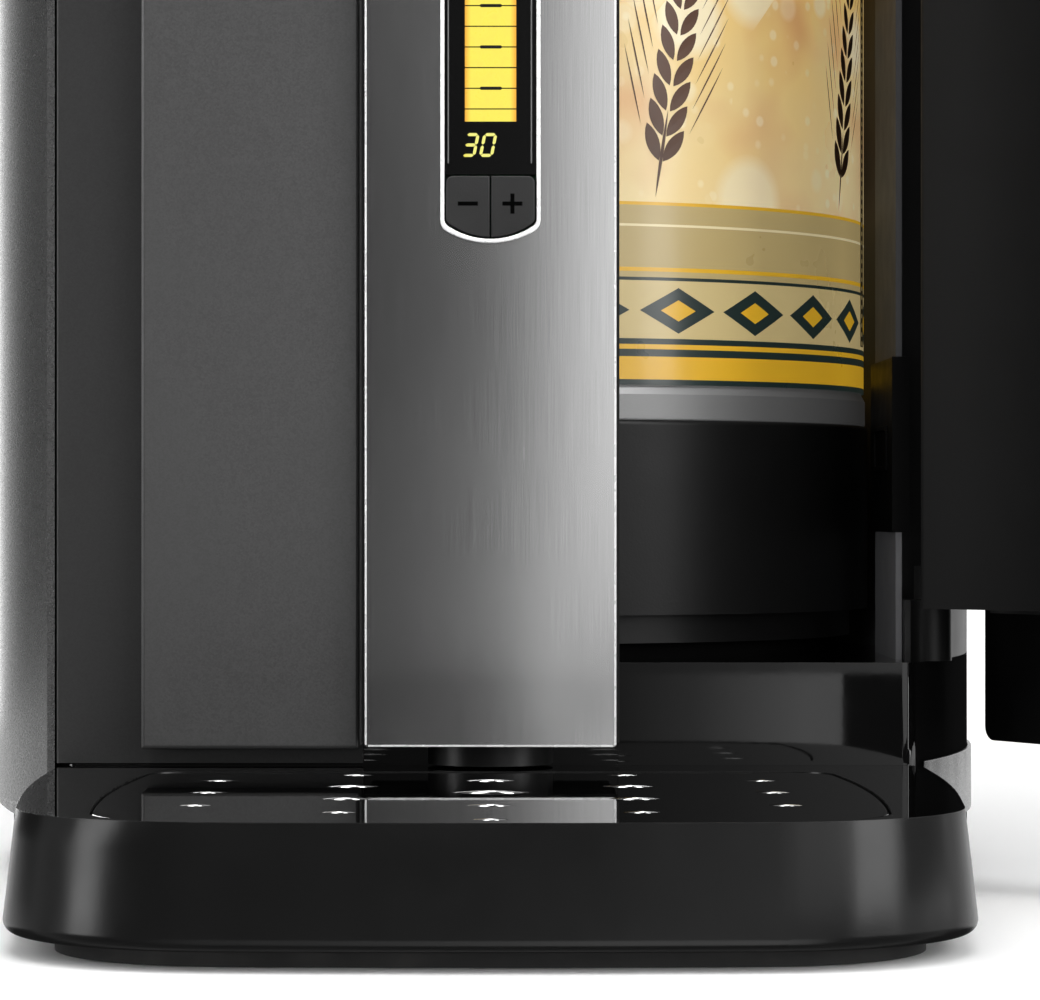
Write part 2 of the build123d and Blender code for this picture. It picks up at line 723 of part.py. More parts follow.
with BuildPart() as keg_coupler:
    with BuildSketch(Plane.XY.offset(coupler_bottom_z)):
        Circle(coupler_radius)
    extrude(amount=coupler_height)
    fillet(keg_coupler.edges().filter_by(GeomType.CIRCLE).group_by(Axis.Z)[-1], coupler_edge_radius)
    with BuildSketch(Plane.XY.offset(coupler_bottom_z)):
        Circle(valve_nose_radius + fit_clearance)
    extrude(amount=valve_nose_height + flat_gap, mode=Mode.SUBTRACT)
    # barbs for the beer tube at the front and the air hose at the back
    with BuildSketch(Plane.XZ):
        with Locations((0, tap_axis_z)):
            Circle(beer_tube_bore - fit_clearance)
    extrude(amount=coupler_radius + barb_length)
    with BuildSketch(Plane.XZ):
        with Locations((hose_coupler_x, tap_axis_z)):
            Circle(hose_bore - fit_clearance)
    extrude(amount=-coupler_radius - barb_length)
save(keg_coupler, "keg_coupler")

with BuildPart() as beer_tube:
    with BuildSketch(Plane.XZ.offset(coupler_radius + flat_gap)):
        with Locations((0, tap_axis_z)):
            Circle(beer_tube_radius)
            Circle(beer_tube_bore, mode=Mode.SUBTRACT)
    extrude(amount=-column_panel_y - tube_insertion_end - coupler_radius - flat_gap)
save(beer_tube, "beer_tube")

hose_path_points = [
    (hose_coupler_x, coupler_radius + flat_gap, tap_axis_z),
    (hose_coupler_x, hose_turn_y[0], tap_axis_z),
    (hose_x, hose_turn_y[1], tap_axis_z),
    (hose_x, hose_drop_y, tap_axis_z),
    (hose_x, hose_drop_y, pump_top_z),
]
with BuildPart() as air_hose:
    with BuildLine():
        hose_path = FilletPolyline(*hose_path_points, radius=list(hose_bend_radii))
    with BuildSketch(Plane(origin=hose_path @ 0, z_dir=hose_path % 0)):
        Circle(hose_radius)
        Circle(hose_bore, mode=Mode.SUBTRACT)
    sweep(path=hose_path)
save(air_hose, "air_hose")
hose_section = math.pi * (hose_radius**2 - hose_bore**2)
print("air hose volume", air_hose.part.volume, "section x length", hose_section * hose_path.length)


# ---------------------------------------------------------------- column
def display_outline(inset, bottom_z, top_z):
    """Upright display shape with a bowed lower end, inset from the bezel's outer edge."""
    half = display_half_width - inset
    with BuildSketch() as face:
        with BuildLine():
            Line((half, bottom_z + display_bottom_drop), (half, top_z))
            Line((half, top_z), (-half, top_z))
            Line((-half, top_z), (-half, bottom_z + display_bottom_drop))
            side_z = bottom_z + display_bottom_drop
            ThreePointArc((-half, side_z), (0, bottom_z), (half, side_z))
        make_face()
        fillet(face.vertices(), display_corner_radius - inset)
    return face.sketch


display_face = display_outline(0.0, display_bottom_z, display_top_z)
window_face = display_outline(bezel_width, display_bottom_z + bezel_width, display_top_z - bezel_width)

with BuildPart() as column_frame:
    block((-column_half_width, column_front_y, column_bottom_z),
          (column_half_width, column_back_y, lid_top_z))
    block((-column_half_width + column_wall, column_front_y + column_wall, column_bottom_z + column_wall),
          (column_half_width - column_wall, 0, lid_top_z - column_wall), Mode.SUBTRACT)
    # the display glass and its keys sit in a window, with bosses for the board behind it
    with BuildSketch(Plane.XZ.offset(-column_front_y)):
        add(window_face)
    extrude(amount=-2 * column_wall, mode=Mode.SUBTRACT)
    for x, z in board_boss_places:
        block((x - board_boss_half, column_front_y + column_wall, z - board_boss_half),
              (x + board_boss_half, board_front_y, z + board_boss_half))
    with BuildSketch(Plane.XZ.offset(-column_front_y)):
        with Locations((0, tap_axis_z)):
            Circle(tap_spigot_radius + fit_clearance)
    extrude(amount=-2 * column_wall, mode=Mode.SUBTRACT)
    # round foot under the column
    with BuildSketch(Plane.XY.offset(frame_bottom_z)):
        with Locations((0, body_front_y)):
            Circle(stub_radius)
        add(slab(-wide, wide, -wide, body_front_y - flat_gap), mode=Mode.INTERSECT)
    extrude(amount=column_bottom_z - frame_bottom_z)
save(column_frame, "column_frame")

with BuildPart() as column_back:
    block((-column_half_width, column_back_y, deck_z),
          (column_half_width, column_back_y + column_back_thickness, rim_bottom_z))
    with BuildSketch(Plane.XZ.offset(-column_back_y - column_back_thickness - 1)):
        with Locations((0, tap_axis_z)):
            Circle(beer_tube_radius + flat_gap)
    extrude(amount=2 * column_back_thickness + 2, mode=Mode.SUBTRACT)
save(column_back, "column_back")


with BuildPart() as column_panel:
    with BuildSketch(Plane.XZ.offset(-column_front_y)):
        with Locations((0, (panel_bottom_z + lid_top_z) / 2)):
            RectangleRounded(2 * panel_half_width, lid_top_z - panel_bottom_z, panel_corner_radius)
        add(display_face, mode=Mode.SUBTRACT)
        with Locations((0, tap_axis_z)):
            Circle(tap_spigot_radius + fit_clearance, mode=Mode.SUBTRACT)
    extrude(amount=panel_thickness)
save(column_panel, "column_panel")

with BuildPart() as display_bezel:
    with BuildSketch(Plane.XZ.offset(-column_front_y)):
        add(display_face)
        offset(amount=-fit_clearance, mode=Mode.REPLACE)
        add(window_face, mode=Mode.SUBTRACT)
    extrude(amount=panel_thickness + bezel_proud)
save(display_bezel, "display_bezel")

with BuildPart() as display_window:
    with BuildSketch(Plane.XZ.offset(-window_back_y)):
        add(window_face)
        offset(amount=-fit_clearance, mode=Mode.REPLACE)
        add(slab(-wide, wide, key_top_z + key_gap, wide), mode=Mode.INTERSECT)
    extrude(amount=window_thickness)
save(display_window, "display_window")

with BuildPart() as display_board:
    block((-board_half_width, board_front_y, display_bottom_z - board_overhang),
          (board_half_width, board_front_y + board_thickness, display_top_z + board_overhang))
    # display module and the two key contacts
    block((-module_half_width, window_back_y + snug_gap, key_top_z + 2 * board_overhang),
          (module_half_width, board_front_y, display_top_z - 2 * board_overhang))
    for x in (-key_contact_x, key_contact_x):
        block((x - key_contact_half, board_front_y - key_contact_half, key_contact_z - key_contact_half),
              (x + key_contact_half, board_front_y, key_contact_z + key_contact_half))
save(display_board, "display_board")

for side, name in ((-1, "minus_key"), (1, "plus_key")):
    with BuildPart() as key:
        with BuildSketch(Plane.XZ.offset(-key_back_y)):
            inset = bezel_width + key_gap
            add(display_outline(inset, display_bottom_z + inset, key_top_z))
            edge = key_gap / 2
            low_x, high_x = (edge, wide) if side > 0 else (-wide, -edge)
            add(slab(low_x, high_x, -wide, wide), mode=Mode.INTERSECT)
        extrude(amount=key_back_y - key_front_y)
        fillet(key.faces().sort_by(Axis.Y)[0].edges(), key_edge_radius)
    save(key, name)


# ---------------------------------------------------------------- tap
with BuildPart() as tap_body:
    with BuildSketch(Plane.XZ.offset(-column_panel_y)):
        with Locations((0, tap_axis_z)):
            Circle(tap_flange_radius)
    extrude(amount=tap_flange_thickness)
    with BuildSketch(Plane.XZ.offset(-column_panel_y)):
        with Locations((0, tap_axis_z)):
            Circle(tap_barrel_radius)
    extrude(amount=column_panel_y - tap_front_y)
    fillet(tap_body.faces().sort_by(Axis.Y)[0].edges(), tap_nose_radius)
    with BuildSketch(Plane.XZ.offset(-column_panel_y)):
        with Locations((0, tap_axis_z)):
            Circle(tap_spigot_radius)
    extrude(amount=-panel_thickness - column_wall - tap_spigot_reach)
    # upright cheeks that carry the lever's pin
    for side in (-1, 1):
        inner = handle_half_width + handle_gap
        low = side * inner if side > 0 else side * (inner + handle_cheek)
        with BuildSketch(Plane.YZ.offset(low)):
            with Locations((handle_pivot_y, (tap_axis_z + handle_pivot_z) / 2)):
                Rectangle(2 * handle_hub_radius, handle_pivot_z - tap_axis_z)
            with Locations((handle_pivot_y, handle_pivot_z)):
                Circle(handle_hub_radius)
        extrude(amount=handle_cheek)
    with Locations(facing_right(0, handle_pivot_y, handle_pivot_z)):
        Cylinder(pivot_pin_radius, wide, mode=Mode.SUBTRACT)
    # spool bore, spout socket and beer passage
    with BuildSketch(Plane.XY.offset(tap_axis_z - tap_barrel_radius - 1)):
        with Locations((0, spout_y)):
            Circle(spool_radius + fit_clearance)
    extrude(amount=wide, mode=Mode.SUBTRACT)
    with BuildSketch(Plane.XZ.offset(-spout_y)):
        with Locations((0, tap_axis_z)):
            Circle(beer_bore_radius)
    extrude(amount=spout_y - column_panel_y - beer_bore_overrun, mode=Mode.SUBTRACT)
save(tap_body, "tap_body")

with BuildPart() as tap_spout:
    with BuildSketch(Plane.XY.offset(spout_tip_z)):
        with Locations((0, spout_y)):
            Circle(spout_radius - spout_tip_taper)
    with BuildSketch(Plane.XY.offset(spout_top_z - spout_collar_height)):
        with Locations((0, spout_y)):
            Circle(spout_radius)
    loft()
    with BuildSketch(Plane.XY.offset(spout_top_z - spout_collar_height)):
        with Locations((0, spout_y)):
            Circle(spout_radius + spout_collar_width)
    extrude(amount=spout_collar_height)
    fillet(tap_spout.edges().filter_by(GeomType.CIRCLE).group_by(Axis.Z)[0], spout_tip_round)
    with BuildSketch(Plane.XY.offset(spout_tip_z - 1)):
        with Locations((0, spout_y)):
            Circle(spout_bore_radius)
    extrude(amount=wide, mode=Mode.SUBTRACT)
    with BuildSketch(Plane.XZ.offset(-column_panel_y)):
        with Locations((0, tap_axis_z)):
            Circle(tap_barrel_radius)
    extrude(amount=wide, mode=Mode.SUBTRACT)
save(tap_spout, "tap_spout")

with BuildPart() as valve_spool:
    with BuildSketch(Plane.XY.offset(spout_top_z)):
        with Locations((0, spout_y)):
            Circle(spool_radius)
    extrude(amount=2 * tap_barrel_radius + spool_lift)
save(valve_spool, "valve_spool")

with BuildPart() as lever_pin:
    pin_half = handle_half_width + handle_gap + handle_cheek + pin_proud
    with BuildSketch(Plane.YZ.offset(-pin_half)):
        with Locations((handle_pivot_y, handle_pivot_z)):
            Circle(pivot_pin_radius)
    extrude(amount=2 * pin_half)
    chamfer(lever_pin.edges().filter_by(GeomType.CIRCLE), pin_chamfer)
save(lever_pin, "lever_pin")

with BuildPart() as tap_handle:
    neck_top_z = handle_pivot_z + handle_neck_height
    back_top_y = handle_pivot_y + handle_hub_radius
    with BuildSketch(Plane.YZ):
        with Locations((handle_pivot_y, handle_pivot_z)):
            Circle(handle_hub_radius)
        with BuildLine():
            Polyline((handle_pivot_y - handle_neck_half, handle_pivot_z),
                     (handle_pivot_y - handle_hub_radius, neck_top_z), (back_top_y, neck_top_z),
                     (handle_pivot_y + handle_neck_half, handle_pivot_z), close=True)
        make_face()
    extrude(amount=handle_half_width, both=True)
    # wider grip above the cheeks
    with BuildSketch(Plane.YZ):
        with BuildLine():
            Polyline((handle_pivot_y - handle_hub_radius, neck_top_z - handle_grip_overlap),
                     (handle_pivot_y - handle_top_reach, handle_top_z), (back_top_y, handle_top_z),
                     (back_top_y, neck_top_z - handle_grip_overlap), close=True)
        make_face()
    extrude(amount=handle_grip_half_width, both=True)
    fillet(tap_handle.faces().sort_by(Axis.Z)[-1].edges(), handle_top_radius)
    with Locations(facing_right(0, handle_pivot_y, handle_pivot_z)):
        Cylinder(pivot_pin_radius + fit_clearance, wide, mode=Mode.SUBTRACT)
save(tap_handle, "tap_handle")


# ---------------------------------------------------------------- door
def swing_open(piece):
    """Door piece turned about the hinge from its closed place to its open place."""
    with BuildPart() as opened:
        add(piece.part.rotate(Axis((hinge_x, hinge_y, 0), (0, 0, 1)), door_open_deg))
    return opened


with BuildPart() as door_panel:
    block((wing_inner_x, door_panel_front_y, wing_bottom_z), (door_panel_x, door_panel_back_y, wing_top_z))
    fillet(door_panel.edges().filter_by(Axis.Y), door_panel_corner_radius)
save(swing_open(door_panel), "door_panel")

with BuildPart() as door_cover:
    low_z = wing_bottom_z + door_cover_inset
    high_z = wing_top_z - door_cover_inset
    block((wing_inner_x, wing_front_y, low_z), (wing_outer_x, door_panel_front_y, high_z))
    fillet(door_cover.edges().group_by(Axis.Y)[0], wing_edge_radius)
    block((wing_inner_x + wing_sheet, wing_front_y + wing_sheet, low_z + wing_sheet),
          (wing_outer_x - wing_sheet, 0, high_z - wing_sheet), Mode.SUBTRACT)
save(swing_open(door_cover), "door_cover")


def door_wedge(inset):
    """Plan of the door's inner pan, deeper towards the hinge, inset from its walls."""
    with BuildSketch() as plan:
        with BuildLine():
            Polyline((door_liner_inner_x + inset, door_panel_back_y),
                     (door_liner_outer_x - inset, door_panel_back_y),
                     (door_liner_outer_x - inset, door_liner_outer_y - inset),
                     (door_liner_inner_x + inset, door_liner_inner_y - inset), close=True)
        make_face()
    return plan.sketch


with BuildPart() as door_liner:
    with BuildSketch(Plane.XY.offset(door_liner_bottom_z)):
        add(door_wedge(0.0))
    extrude(amount=door_liner_top_z - door_liner_bottom_z)
    uprights = door_liner.edges().filter_by(Axis.Z)
    fillet(uprights.filter_by_position(Axis.Y, door_panel_back_y + 1, 0), door_liner_edge_radius)
    with BuildSketch(Plane.XY.offset(door_liner_bottom_z + door_liner_wall)):
        add(door_wedge(door_liner_wall))
    extrude(amount=door_liner_top_z - door_liner_bottom_z - 2 * door_liner_wall, mode=Mode.SUBTRACT)
    # hinge arms with their knuckles
    for low_z in hinge_knuckle_bottoms:
        with BuildSketch(Plane.XY.offset(low_z)):
            with Locations((hinge_x, hinge_y)):
                Circle(hinge_knuckle_radius)
            arm_x = door_liner_outer_x - door_liner_wall
            add(slab(arm_x, hinge_x, hinge_y - hinge_arm_half, hinge_y + hinge_arm_half))
        extrude(amount=hinge_knuckle_height)
        with BuildSketch(Plane.XY.offset(low_z)):
            with Locations((hinge_x, hinge_y)):
                Circle(hinge_pin_radius + fit_clearance)
        extrude(amount=hinge_knuckle_height, mode=Mode.SUBTRACT)
save(swing_open(door_liner), "door_liner")

with BuildPart() as door_insulation:
    with BuildSketch(Plane.XY.offset(door_liner_bottom_z + door_liner_wall + snug_gap)):
        add(door_wedge(door_liner_wall + snug_gap))
    extrude(amount=door_liner_top_z - door_liner_bottom_z - 2 * door_liner_wall - 2 * snug_gap)
save(swing_open(door_insulation), "door_insulation")

with BuildPart() as door_seal:
    reach = door_seal_width
    block((door_liner_inner_x - reach, door_panel_back_y, door_liner_bottom_z - reach),
          (door_liner_outer_x + reach, door_panel_back_y + door_seal_depth, door_liner_top_z + reach))
    block((door_liner_inner_x - fit_clearance, door_panel_back_y - 1, door_liner_bottom_z - fit_clearance),
          (door_liner_outer_x + fit_clearance, 0, door_liner_top_z + fit_clearance), Mode.SUBTRACT)
save(swing_open(door_seal), "door_seal")

with BuildPart() as hinge_brackets:
    for low_z, high_z in hinge_lug_spans:
        with BuildSketch(Plane.XY.offset(low_z)):
            with Locations((hinge_x, hinge_y)):
                Circle(hinge_lug_radius)
            add(slab(chamber_leg_x + chamber_wall + snug_gap, hinge_x + hinge_lug_radius, hinge_y, post_y))
        extrude(amount=high_z - low_z)
    with Locations((hinge_x, hinge_y)):
        Cylinder(hinge_pin_radius + fit_clearance, 2 * wide, mode=Mode.SUBTRACT)
save(hinge_brackets, "hinge_brackets")

with BuildPart() as hinge_pins:
    for low_z, high_z in hinge_pin_spans:
        with BuildSketch(Plane.XY.offset(low_z)):
            with Locations((hinge_x, hinge_y)):
                Circle(hinge_pin_radius)
        extrude(amount=high_z - low_z)
save(hinge_pins, "hinge_pins")


# ---------------------------------------------------------------- drip tray
def tray_plan(inset):
    """Plan of the tray's rim: bowed front, round corners, sides that widen to the back."""
    with BuildSketch() as plan:
        with BuildLine():
            left_nose = (-tray_nose_x, tray_nose_y)
            right_nose = (tray_nose_x, tray_nose_y)
            ThreePointArc(left_nose, (0, tray_front_y), right_nose)
            Polyline(right_nose, (tray_half_width, tray_taper_y), (tray_half_width, tray_back_y),
                     (-tray_half_width, tray_back_y), (-tray_half_width, tray_taper_y), left_nose)
        make_face()
        fillet(plan.vertices().group_by(Axis.Y)[0], tray_corner_radius)
        side_corners = plan.vertices().filter_by_position(Axis.Y, tray_taper_y - 1, tray_taper_y + 1)
        fillet(side_corners, tray_side_radius)
        offset(amount=-inset, mode=Mode.REPLACE)
    return plan.sketch


def drip_plate_plan(gap):
    """Plan of the drip plate with bowed sides, or of its recess where gap is above zero."""
    corner_x = plate_half_width - plate_side_bow
    middle_y = (plate_back_y + plate_front_y) / 2
    with BuildSketch() as plan:
        with BuildLine():
            Line((-corner_x, plate_front_y), (corner_x, plate_front_y))
            ThreePointArc((corner_x, plate_front_y), (plate_half_width, middle_y), (corner_x, plate_back_y))
            Line((corner_x, plate_back_y), (-corner_x, plate_back_y))
            ThreePointArc((-corner_x, plate_back_y), (-plate_half_width, middle_y), (-corner_x, plate_front_y))
        make_face()
        fillet(plan.vertices().group_by(Axis.Y)[0], plate_corner_radius)
        fillet(plan.vertices().group_by(Axis.Y)[-1], plate_back_corner_radius)
        if gap:
            offset(amount=gap, mode=Mode.REPLACE)
    return plan.sketch


plate_top_z = tray_rim_z - plate_drop
plate_seat_z = plate_top_z - plate_thickness
bowl_floor_z = tray_wall_foot_z + tray_floor_thickness

with BuildPart() as drip_tray:
    with BuildSketch(Plane.XY.offset(tray_rim_z)):
        add(tray_plan(0.0))
    extrude(amount=-(tray_rim_z - tray_wall_foot_z), taper=-tray_draft_deg)
    block((-wide, tray_back_y, 0), (wide, 0, wide), Mode.SUBTRACT)
    low_edges = drip_tray.faces().sort_by(Axis.Z)[0].edges()
    fillet(low_edges.sort_by(Axis.Y)[:-1], tray_edge_radius)
    with BuildSketch(Plane.XY.offset(plate_seat_z)):
        add(drip_plate_plan(plate_gap))
    extrude(amount=wide, mode=Mode.SUBTRACT)
    with BuildSketch(Plane.XY.offset(bowl_floor_z)):
        add(drip_plate_plan(0.0))
        offset(amount=-tray_bowl_inset, mode=Mode.REPLACE)
    extrude(amount=wide, mode=Mode.SUBTRACT)
save(drip_tray, "drip_tray")

with BuildPart() as tray_foot:
    with BuildSketch():
        add(tray_plan(tray_foot_inset))
        offset(amount=-tray_foot_width, mode=Mode.SUBTRACT)
    extrude(amount=tray_wall_foot_z)
save(tray_foot, "tray_foot")


def slot_shape(width):
    """Pointed drain slot with bulging sides."""
    half = width / 2
    depth = half * slot_depth_share
    with BuildSketch() as slot:
        with BuildLine():
            corners = [(-half, 0), (0, depth), (half, 0), (0, -depth)]
            for start, end in zip(corners, corners[1:] + corners[:1]):
                bulge = (slot_bulge * (start[0] + end[0]), slot_bulge * (start[1] + end[1]))
                ThreePointArc(start, bulge, end)
        make_face()
    return slot.sketch


def slot_places():
    """Centres of the slots: five columns, neighbours staggered by half a pitch."""
    places = []
    for column in range(-2, 3):
        first_y = slot_first_y + (slot_pitch_y / 2 if column % 2 else 0.0)
        count = 3 if abs(column) == 2 else 4
        places += [(column * slot_pitch_x, first_y - row * slot_pitch_y) for row in range(count)]
    return places


with BuildPart() as drip_plate:
    with BuildSketch(Plane.XY.offset(plate_seat_z)):
        add(drip_plate_plan(0.0))
    extrude(amount=plate_thickness)
    fillet(drip_plate.faces().sort_by(Axis.Z)[-1].edges(), plate_edge_radius)
    for x, y in slot_places():
        reach = math.hypot(x, y - spout_y)
        slot_width = slot_min_width + slot_growth * math.exp(-((reach / slot_reach) ** 2))
        with BuildSketch(Plane.XY.offset(plate_seat_z)):
            with Locations((x, y)):
                add(slot_shape(slot_width))
        extrude(amount=plate_thickness, mode=Mode.SUBTRACT)
save(drip_plate, "drip_plate")


# ---------------------------------------------------------------- lid
def lid_plan(inset):
    """Plan of the lid with the two front wings and a notch for the column."""
    with BuildSketch() as plan:
        add(body_plan(0.0, 0.0))
        add(slab(-wide, wide, -wide, lid_back_y), mode=Mode.INTERSECT)
        for side in (-1, 1):
            low, high = sorted((side * wing_inner_x, side * wing_outer_x))
            add(slab(low, high, wing_front_y, body_front_y + 1.0))
        notch = column_half_width + column_notch_gap
        add(slab(-notch, notch, -wide, column_notch_y), mode=Mode.SUBTRACT)
        if inset:
            offset(amount=-inset, mode=Mode.REPLACE, kind=Kind.INTERSECTION)
    return plan.sketch


def knuckle(side, first_x, root_y):
    """One hinge knuckle with the arm that joins it to the lid or to the rear deck."""
    low, high = sorted((side * first_x, side * (first_x + lid_knuckle_length)))
    block((low, min(lid_hinge_y, root_y), lid_hinge_z - lid_arm_half),
          (high, max(lid_hinge_y, root_y), lid_hinge_z + lid_arm_half))
    with Locations(facing_right((low + high) / 2, lid_hinge_y, lid_hinge_z)):
        Cylinder(lid_knuckle_radius, lid_knuckle_length)
        Cylinder(hinge_pin_radius + fit_clearance, lid_knuckle_length, mode=Mode.SUBTRACT)


with BuildPart() as lid_shell:
    with BuildSketch(Plane.XY.offset(lid_bottom_z)):
        add(lid_plan(0.0))
    extrude(amount=lid_height)
    fillet(lid_shell.faces().sort_by(Axis.Z)[-1].edges(), lid_edge_radius)
    with BuildSketch(Plane.XY.offset(lid_bottom_z)):
        add(lid_plan(lid_wall))
    extrude(amount=lid_height - lid_top_thickness, mode=Mode.SUBTRACT)
    for side in (-1, 1):
        knuckle(side, lid_knuckle_x, lid_back_y - lid_wall)
save(lid_shell, "lid_shell")

with BuildPart() as lid_liner:
    with BuildSketch(Plane.XY.offset(lid_liner_z)):
        add(lid_plan(lid_wall + fit_clearance))
    extrude(amount=lid_liner_thickness)
save(lid_liner, "lid_liner")

with BuildPart() as lid_insulation:
    with BuildSketch(Plane.XY.offset(lid_liner_z + lid_liner_thickness)):
        add(lid_plan(lid_wall + snug_gap))
    extrude(amount=lid_top_z - lid_top_thickness - snug_gap - lid_liner_z - lid_liner_thickness)
save(lid_insulation, "lid_insulation")

with BuildPart() as rear_deck:
    with BuildSketch(Plane.XY.offset(rim_top_z)):
        add(skin_plan)
        add(slab(-wide, wide, deck_cover_front_y, wide), mode=Mode.INTERSECT)
    extrude(amount=lid_top_z - rim_top_z)
    fillet(rear_deck.faces().sort_by(Axis.Z)[-1].edges(), lid_edge_radius)
    with BuildSketch(Plane.XY.offset(rim_top_z)):
        add(skin_plan)
        add(slab(-wide, wide, deck_cover_front_y, wide), mode=Mode.INTERSECT)
        offset(amount=-lid_wall, mode=Mode.REPLACE)
    extrude(amount=lid_height + seam_gap - lid_top_thickness, mode=Mode.SUBTRACT)
    for side in (-1, 1):
        knuckle(side, lid_knuckle_x + lid_knuckle_length + seam_gap, deck_cover_front_y + lid_wall)
save(rear_deck, "rear_deck")

with BuildPart() as lid_hinge_pins:
    for side in (-1, 1):
        pin_length = 2 * lid_knuckle_length + seam_gap - 2 * lid_pin_inset
        near = lid_knuckle_x + lid_pin_inset
        low = near if side > 0 else -near - pin_length
        with BuildSketch(Plane.YZ.offset(low)):
            with Locations((lid_hinge_y, lid_hinge_z)):
                Circle(hinge_pin_radius)
        extrude(amount=pin_length)
save(lid_hinge_pins, "lid_hinge_pins")


# ---------------------------------------------------------------- cooling unit
with BuildPart() as cold_plate:
    half = cold_plate_size / 2
    block((-half, cold_plate_size / 2, cooler_z - half), (half, cold_plate_back_y, cooler_z + half))
    with BuildSketch(Plane.XY):
        Circle(chamber_outer_radius + fit_clearance)
    extrude(amount=wide, mode=Mode.SUBTRACT)
save(cold_plate, "cold_plate")

with BuildPart() as peltier_module:
    half = peltier_size / 2
    block((-half, cold_plate_back_y, cooler_z - half), (half, peltier_back_y, cooler_z + half))
save(peltier_module, "peltier_module")

with BuildPart() as heat_sink:
    half = sink_size / 2
    block((-half, peltier_back_y, cooler_z - half), (half, fin_front_y, cooler_z + half))
    for index in range(fin_count):
        x = -half + fin_thickness / 2 + index * (sink_size - fin_thickness) / (fin_count - 1)
        block((x - fin_thickness / 2, fin_front_y, cooler_z - half),
              (x + fin_thickness / 2, fin_front_y + fin_length, cooler_z + half))
    with Locations(facing_back(0, fin_front_y + fin_length, cooler_z)):
        with GridLocations(fan_screw_pitch, fan_screw_pitch, 2, 2):
            Cylinder(fan_screw_radius + fan_screw_wall, fin_length, align=align_below)
            Cylinder(fan_screw_radius + fit_clearance, fin_length, mode=Mode.SUBTRACT)
save(heat_sink, "heat_sink")

with BuildPart() as fan_frame:
    with BuildSketch(Plane.XZ.offset(-fan_front_y)):
        with Locations((0, cooler_z)):
            RectangleRounded(fan_size, fan_size, fan_corner_radius)
            Circle(fan_bore_radius, mode=Mode.SUBTRACT)
            with GridLocations(fan_screw_pitch, fan_screw_pitch, 2, 2):
                Circle(fan_screw_radius + snug_gap, mode=Mode.SUBTRACT)
    extrude(amount=-fan_depth)
    # motor seat on four struts at the exhaust side
    with BuildSketch(Plane.XZ.offset(-fan_front_y - fan_depth + fan_strut[1])):
        with Locations((0, cooler_z)):
            Circle(fan_hub_radius)
            for angle in (45, 135):
                Rectangle(2 * fan_bore_radius + 2, fan_strut[0], rotation=angle)
    extrude(amount=-fan_strut[1])
    with BuildSketch(Plane.XZ.offset(-fan_front_y - fan_depth + fan_strut[1])):
        with Locations((0, cooler_z)):
            Circle(fan_shaft_radius)
    extrude(amount=fan_shaft_length)
save(fan_frame, "fan_frame")

with BuildPart() as fan_rotor:
    rotor_back_y = fan_front_y + fan_depth - rotor_back_gap
    with BuildSketch(Plane.XZ.offset(-rotor_back_y)):
        with Locations((0, cooler_z)):
            Circle(fan_hub_radius)
    extrude(amount=rotor_length)
    blade_root = fan_hub_radius - 1
    blade_middle = (blade_root + fan_blade_radius) / 2
    with Locations(facing_back(0, rotor_back_y - rotor_length / 2, cooler_z)):
        with PolarLocations(blade_middle, fan_blade_count):
            with Locations(Rotation(fan_blade_tilt_deg, 0, 0)):
                Box(fan_blade_radius - blade_root, fan_blade_chord, fan_blade_thickness)
    with BuildSketch(Plane.XZ.offset(-rotor_back_y)):
        with Locations((0, cooler_z)):
            Circle(fan_shaft_radius + fit_clearance)
    extrude(amount=fan_shaft_length, mode=Mode.SUBTRACT)
save(fan_rotor, "fan_rotor")

with BuildPart() as fan_screws:
    with Locations(facing_back(0, fan_front_y + fan_depth, cooler_z)):
        with GridLocations(fan_screw_pitch, fan_screw_pitch, 2, 2):
            Cylinder(*fan_screw_head, align=align_above)
            Cylinder(fan_screw_radius, fan_depth + fan_screw_grip, align=align_below)
save(fan_screws, "fan_screws")


# ---------------------------------------------------------------- electrics and air
with BuildPart() as power_supply:
    with BuildSketch(Plane.XY.offset(deck_z)):
        with Locations(supply_centre):
            RectangleRounded(supply_size[0], supply_size[1], supply_corner_radius)
    extrude(amount=supply_size[2])
    fillet(power_supply.edges().group_by(Axis.Z)[-1], supply_edge_radius)
save(power_supply, "power_supply")

with BuildPart() as air_pump:
    pump_z = deck_z + pump_foot_height + pump_radius
    with BuildSketch(Plane.XZ.offset(-pump_front_y)):
        with Locations((pump_x, pump_z)):
            RectangleRounded(pump_head_size, pump_head_size, pump_head_corner_radius)
    extrude(amount=-pump_head_length)
    with BuildSketch(Plane.XZ.offset(-pump_front_y - pump_head_length)):
        with Locations((pump_x, pump_z)):
            Circle(pump_radius - pump_waist)
    extrude(amount=-pump_length)
    with BuildSketch(Plane.XY.offset(deck_z)):
        with Locations((pump_x, pump_front_y + pump_head_length / 2)):
            with GridLocations(*pump_foot_spacing, 2, 2):
                Circle(pump_foot_radius)
    extrude(amount=pump_foot_height + 1)
    # outlet spigot below the hose
    with BuildSketch(Plane.XY.offset(pump_z)):
        with Locations((hose_x, hose_drop_y)):
            Circle(hose_radius + pump_spigot_wall)
    extrude(amount=pump_top_z - pump_z - flat_gap)
    with BuildSketch(Plane.XY.offset(pump_z)):
        with Locations((hose_x, hose_drop_y)):
            Circle(hose_bore - fit_clearance)
    extrude(amount=pump_top_z - pump_z + pump_barb_height)
save(air_pump, "air_pump")

